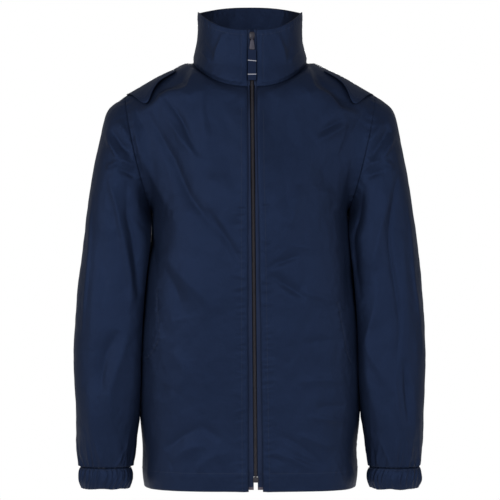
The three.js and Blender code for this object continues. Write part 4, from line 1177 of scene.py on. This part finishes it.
def paint_over(mat, mask_of, colour):
    """A second colour on a material where a mask is 1."""
    tree = mat.node_tree
    socket = tree.nodes["Principled BSDF"].inputs["Base Color"]
    mixed = blend_colour(tree, mask_of(tree), socket.links[0].from_socket, colour)
    tree.links.new(mixed, socket)


def strap_stripes(tree):
    """The two pale stripes of the strap, the upper one a little aslant."""
    where = cloth_place(tree)
    bands = (stripe(tree, where, level, 0.6, slope) for level, slope in ((-38.0, 0.09), (-60.9, 0.0)))
    return math_node(tree, "MAXIMUM", *bands)


TAPE_END_Z, TAPE_END_PITCH = -703.5, 1.9  # below it the tapes are stiffened and striped


def tape_ends(tree):
    height = node(tree, "SeparateXYZ", {"Vector": object_place(tree)}).outputs[2]
    below = math_node(tree, "LESS_THAN", height, TAPE_END_Z / 1000)
    turns = math_node(tree, "MULTIPLY", height, 2 * math.pi / (TAPE_END_PITCH / 1000))
    stripes = math_node(tree, "SINE", turns)
    share = math_node(tree, "ADD", math_node(tree, "MULTIPLY", stripes, 0.3), 0.7)
    return math_node(tree, "MULTIPLY", below, share)


paint_over(strap_mat, strap_stripes, (0.36, 0.36, 0.40))
paint_over(tape_mat, tape_ends, (0.13, 0.105, 0.108))


def dress(piece, body, slot_name, mat, *nodes):
    """A piece's material, the body it rides on, and the part's nodes it stands for; slot_name is not used."""
    piece.data.materials.clear()
    piece.data.materials.append(mat)
    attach(piece, body)
    if nodes:
        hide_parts(*nodes)


# ---------------------------------------------------------------- the jacket's pieces
WORDS = {1: "left", -1: "right"}


def cloth_piece(piece, node_name, mat=shell_mat, slot_name="shell"):
    dress(piece, "jacket", slot_name, mat, node_name)


fronts = {hand: panel("front", hand) for hand in (1, -1)}
backs = {hand: panel("back", hand) for hand in (1, -1)}
sleeves = {hand: sleeve(hand) for hand in (1, -1)}
cuffs = {hand: cuff(hand) for hand in (1, -1)}
collar_face = collar()
flaps = {hand: flap(fronts[hand], backs[hand], hand) for hand in (1, -1)}
tapes = {hand: zip_tape(fronts[hand], collar_face, hand) for hand in (1, -1)}

cloth_piece(whole_back(backs), "back")
cloth_piece(cloth("collar_cloth", collar_face), "collar")
for hand, word in WORDS.items():
    front, arm = f"front_{word}_cloth", f"sleeve_{word}_cloth"
    made = (
        ("front", "front", fronts[hand], "hung", "collar_cloth"),
        ("sleeve", "sleeve", sleeves[hand], "hung", front),
        ("cuff", "cuff", cuffs[hand], "gathered", arm),
        ("flap", "shoulder_flap", flaps[hand], "hung", front),
        ("bag", "pocket_bag", pocket_bag(fronts[hand]), "hung", front),
    )
    for kind, name, faces, held, rests_on in made:
        piece = cloth(f"{name}_{word}_cloth", faces, hand, wrap=kind in ("sleeve", "cuff"))
        cloth_piece(piece, f"{name}_{word}")
    piece = cloth(f"zip_tape_{word}_cloth", tapes[hand], hand)
    cloth_piece(piece, f"zip_tape_{word}", tape_mat, "tape")


# ---------------------------------------------------------------- stitches
def on_grid(face, rows, columns):
    """Points of a face, and the way it faces there, at fractional rows and columns."""
    return at_cell(face["outer"], rows, columns), at_cell(face["inward"], rows, columns)


def line_across(face, row):
    columns = np.arange(face["outer"].shape[1] - 1.0)
    return on_grid(face, np.full_like(columns, row), columns)


def line_beside(face, distance, rows, from_end=False):
    """A line up a face at a distance from its first or its last column."""
    across = lengths(face["base"], 1)
    across = across[:, -1:] - across if from_end else across
    order = slice(None, None, -1) if from_end else slice(None)
    columns = np.arange(across.shape[1], dtype=float)
    at = np.array([np.interp(distance, across[r][order], columns[order]) for r in rows])
    return on_grid(face, np.asarray(rows, float), at)


def on_face(face, line, hand):
    """Points of a face under a line of x and z in front of it."""
    steps = lengths(line)
    line = spline(steps, line, np.arange(0, steps[-1], 2.0))
    points, ways = face["outer"].reshape(-1, 3), face["inward"].reshape(-1, 3)
    flat = points[:, (0, 2)] * (hand, 1)
    place, face_way = [], []
    for x, z in line:
        far = np.hypot(flat[:, 0] - x, flat[:, 1] - z)
        near = np.argsort(far)[:5]
        share = 1 / (far[near] + 0.2)
        share /= share.sum()
        place.append((hand * x, share @ points[near, 1], z))
        face_way.append(share @ ways[near])
    return np.array(place), unit(np.array(face_way))


hem_row = (CASING_Z - HEM_Z) / (UNDERARM_Z - HEM_Z) * (LOW_ROWS - 1)
placket_rows = np.flatnonzero(ROW_RISE <= NECK_RISE["front"])[:-3]
seams = []
for hand in (1, -1):
    front, edge = fronts[hand], cuffs[hand]["outer"][-3]
    lines = [
        line_across(front, hem_row),
        line_across(backs[hand], hem_row),
        line_beside(front, PLACKET, placket_rows),
        on_face(front, POCKETS[hand], hand),
        (flaps[hand]["outer"][3], flaps[hand]["inward"][3]),
        (edge, unit(edge - cuffs[hand]["inner"][-3])),
    ]
    for points, ways in lines:
        seams.append(stitches(points * (hand, 1, 1), ways * (hand, 1, 1)))
up = lengths(collar_face["base"], 0)
columns = np.arange(up.shape[1] - 1)
top_rows = np.array([np.interp(up[-1, c] - COLLAR_STITCH, up[:, c], np.arange(COLLAR_ROWS)) for c in columns])
seams.append(stitches(*on_grid(collar_face, top_rows, columns.astype(float))))
for from_end in (False, True):
    seams.append(stitches(*line_beside(collar_face, PLACKET, range(5, COLLAR_ROWS - 2), from_end)))
dress(joined("stitches", seams), "jacket", "shell", thread_mat)

# ---------------------------------------------------------------- the zip
TEETH_PITCH = 1.55
zip_line = (tapes[1]["base"][:, 0] + tapes[-1]["base"][:, 0] * (-1, 1, 1)) / 2
zip_line = zip_line[(zip_line[:, 2] > ZIP_FOOT) & (zip_line[:, 2] < SLIDER_Z - 1.5)]
place, face = run_of(zip_line, np.tile([0.0, -1.0, 0.0], (len(zip_line), 1)), TEETH_PITCH)
coils = []
for way, shift in ((1, 0.0), (-1, TEETH_PITCH / 2)):
    middle = place + (0, 0, shift)
    starts, ends = middle + (way * 2.75, 0.1, 0.25), middle + (-way * 0.8, 0, -0.1)
    coils.append(bars(starts, ends, face, 0.62, 0.35, 1.1, 6))
dress(joined("zip_coil", coils), "jacket", "chain", coil_mat, "zip_chain")

STRAP_LENGTH, STRAP_THICK = 51, 2  # the part's strap, whose box shows how far the pull leans forward
strap_low, strap_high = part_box("puller_strap")
deep, tall = (1000 * (strap_high[k] - strap_low[k]) for k in (1, 2))
lean = math.asin((STRAP_LENGTH * deep - STRAP_THICK * tall) / (STRAP_LENGTH**2 - STRAP_THICK**2))
pivot = Vector(next(j for j in frame["record"]["behaviour"]["joints"] if j["name"] == "pull_swing")["pos_m"])
ROD = Vector((0, -5.6, -4.5)) / 1000  # from the slider's middle to the rod on which the pull turns
at_pivot = Matrix.Translation(pivot) @ Matrix.Rotation(-lean, 4, "X")
at_slider = at_pivot @ Matrix.Translation(-ROD)


def place_at(piece, matrix):
    piece.data.transform(matrix)
    piece.data.update()
    return piece


def shifted(piece, x=0, y=0, z=0):
    return place_at(piece, Matrix.Translation(Vector((x, y, z)) / 1000))


plate = mirror([(3.1, -6.5), (3.7, -4.2), (4.4, -1.5), (4.5, 2.6), (4.2, 4.7), (3.1, 6.1), (1.3, 6.5)])
lug = [(-6.6, -5.6), (-6.9, -4.5), (-6.6, -3.4), (-5.6, -3.0), (-2.4, -2.6), (-2.4, -6.2), (-5.6, -6.0)]
rod = [(-2.3, 0.05), (-2.3, 0.7), (-2.2, 0.8), (2.2, 0.8), (2.3, 0.7), (2.3, 0.05)]
parts = [shifted(solid(f"plate_{y}", plate, 1.4, 0.5), y=y) for y in (-2.3, 2.3)]
parts.append(shifted(solid("bridge", mirror([(2.4, 3.6), (2.4, 6.3)]), 4.0, 0.3)))
for x in (-2.25, 2.25):
    side = place_at(solid(f"lug_{x}", lug, 1.0, 0.25), Matrix.Rotation(math.radians(90), 4, "Z"))
    parts.append(shifted(side, x=x))
parts.append(place_at(turned_ring("rod", rod, 28), Matrix.Translation(ROD)))
slider_piece = place_at(merge("zip_slider_metal", parts), at_slider)
dress(slider_piece, "jacket", "zip_metal", slider_mat, "zip_slider")

eye = [(-1.5, 0.88), (-1.5, 1.8), (-1.2, 2.1), (1.2, 2.1), (1.5, 1.8), (1.5, 0.88)]
tab = mirror([(1.4, -1.7), (1.5, -3.4), (2.8, -4.5), (3.3, -8), (4.5, -17.6), (4.3, -18.9), (3.5, -19.5)])
pull_piece = merge("zip_pull_tab", [turned_ring("eye", eye, 40), solid("tab", tab, 1.6, 0.45, 3)])
dress(place_at(pull_piece, at_pivot), "pull", "zip_metal", tab_mat, "zip_pull")

webbing = mirror([(-6.2, -19.9), (-7, -20.8), (-7, -68.6), (-6.6, -70.1), (-5.2, -70.8)])
strap_piece = place_at(solid("puller_webbing", webbing, 1.9, 0.6, 3), at_pivot)
dress(strap_piece, "pull", "strap", strap_mat, "puller_strap")

box_low, box_high = (1000 * np.array(corner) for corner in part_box("zip_box"))
middle, deep = (box_low + box_high) / 2, box_high[1] - box_low[1]
shield = mirror([(4.4, -4.3), (4.4, 2.6), (3.3, 4.4), (1.2, 4.4)])
block = mirror([(2.7, -4.4), (2.7, 4.4)])
parts = [
    shifted(solid("box_front", shield, 0.9, 0.3), x=middle[0], y=box_low[1] + 0.45, z=middle[2]),
    shifted(solid("box_block", block, deep - 0.3, 0.3), x=middle[0], y=middle[1] + 0.1, z=middle[2]),
]
dress(merge("zip_box_metal", parts), "jacket", "chain", coil_mat, "zip_box")

# ---------------------------------------------------------------- light, floor and camera
LOOK = Vector((0, 0, -0.33))  # the jacket's middle, at which the lamps aim


def softbox(name, azimuth, elevation, far, size, power):
    """A lamp, with its degrees round from the front and up, its distance and size, and its power in watts."""
    a, e = math.radians(azimuth), math.radians(elevation)
    data = bpy.data.lights.new(name, "AREA")
    data.shape, data.energy = "RECTANGLE", power
    data.size, data.size_y = size
    lamp = add_object(name, data)
    lamp.location = LOOK + far * Vector((math.sin(a) * math.cos(e), -math.cos(a) * math.cos(e), math.sin(e)))
    lamp.rotation_euler = (LOOK - lamp.location).to_track_quat("-Z", "Y").to_euler()
    lamp.visible_camera = False


softbox("left", -52, 12, 3.2, (1.7, 1.9), 36)
softbox("right", 52, 9, 3.2, (1.7, 1.9), 28)
softbox("key", -15, 16, 3.5, (0.8, 0.9), 34)
softbox("fill", 15, 5, 3.5, (0.8, 0.9), 18)
softbox("rear", 180, 8, 4.2, (1.2, 1.2), 80)

world = bpy.data.worlds.new("studio")
bpy.context.scene.world = world
world.use_nodes = True
tree = world.node_tree
seen = tree.nodes["Background"]
seen.inputs["Color"].default_value = (1, 1, 1, 1)
ambient = node(tree, "Background", Color=(0.9, 0.93, 1, 1), Strength=0.3)
ray = node(tree, "LightPath")
both = tree.nodes.new("ShaderNodeMixShader")
tree.links.new(ray.outputs["Is Camera Ray"], both.inputs[0])
tree.links.new(ambient.outputs[0], both.inputs[1])
tree.links.new(seen.outputs[0], both.inputs[2])
tree.links.new(both.outputs[0], tree.nodes["World Output"].inputs["Surface"])

floor_mat, floor_shader = new_material("floor_paper", 0.8, 0.1)
floor_tree = floor_mat.node_tree
speck = grain(floor_tree, object_place(floor_tree), 40)
paper = blend_colour(floor_tree, speck, (0.78, 0.78, 0.79), (0.82, 0.82, 0.83))
floor_tree.links.new(paper, floor_shader.inputs["Base Color"])
floor_shader.inputs["Emission Color"].default_value = (1, 1, 1, 1)
floor_shader.inputs["Emission Strength"].default_value = 0.25
FLOOR_Z, FLOOR_RADII, FLOOR_SIDES = -900, (1, 420, 840, 1250), 96
angle = 2 * np.pi * np.arange(FLOOR_SIDES) / FLOOR_SIDES
circle = np.stack([np.cos(angle), np.sin(angle), 0 * angle], -1)
rings = np.stack([r * circle + (0, 0, FLOOR_Z) for r in FLOOR_RADII])
ids = np.arange(len(FLOOR_RADII) * FLOOR_SIDES).reshape(-1, FLOOR_SIDES)
ids = np.concatenate([ids, ids[:, :1]], 1)
floor = add_mesh("floor", rings.reshape(-1, 3), grid_quads(ids)[:, ::-1])
floor.data.materials.append(floor_mat)

camera = bpy.data.cameras.new("camera")
camera.lens, camera.sensor_width = 157.6, 36
view = add_object("camera", camera)
view.location, view.rotation_euler = (0, -3.7, -0.316), (math.radians(90), 0, 0)
bpy.context.scene.camera = view
bpy.context.scene.view_settings.view_transform = "Standard"
bpy.context.scene.view_settings.look = "None"
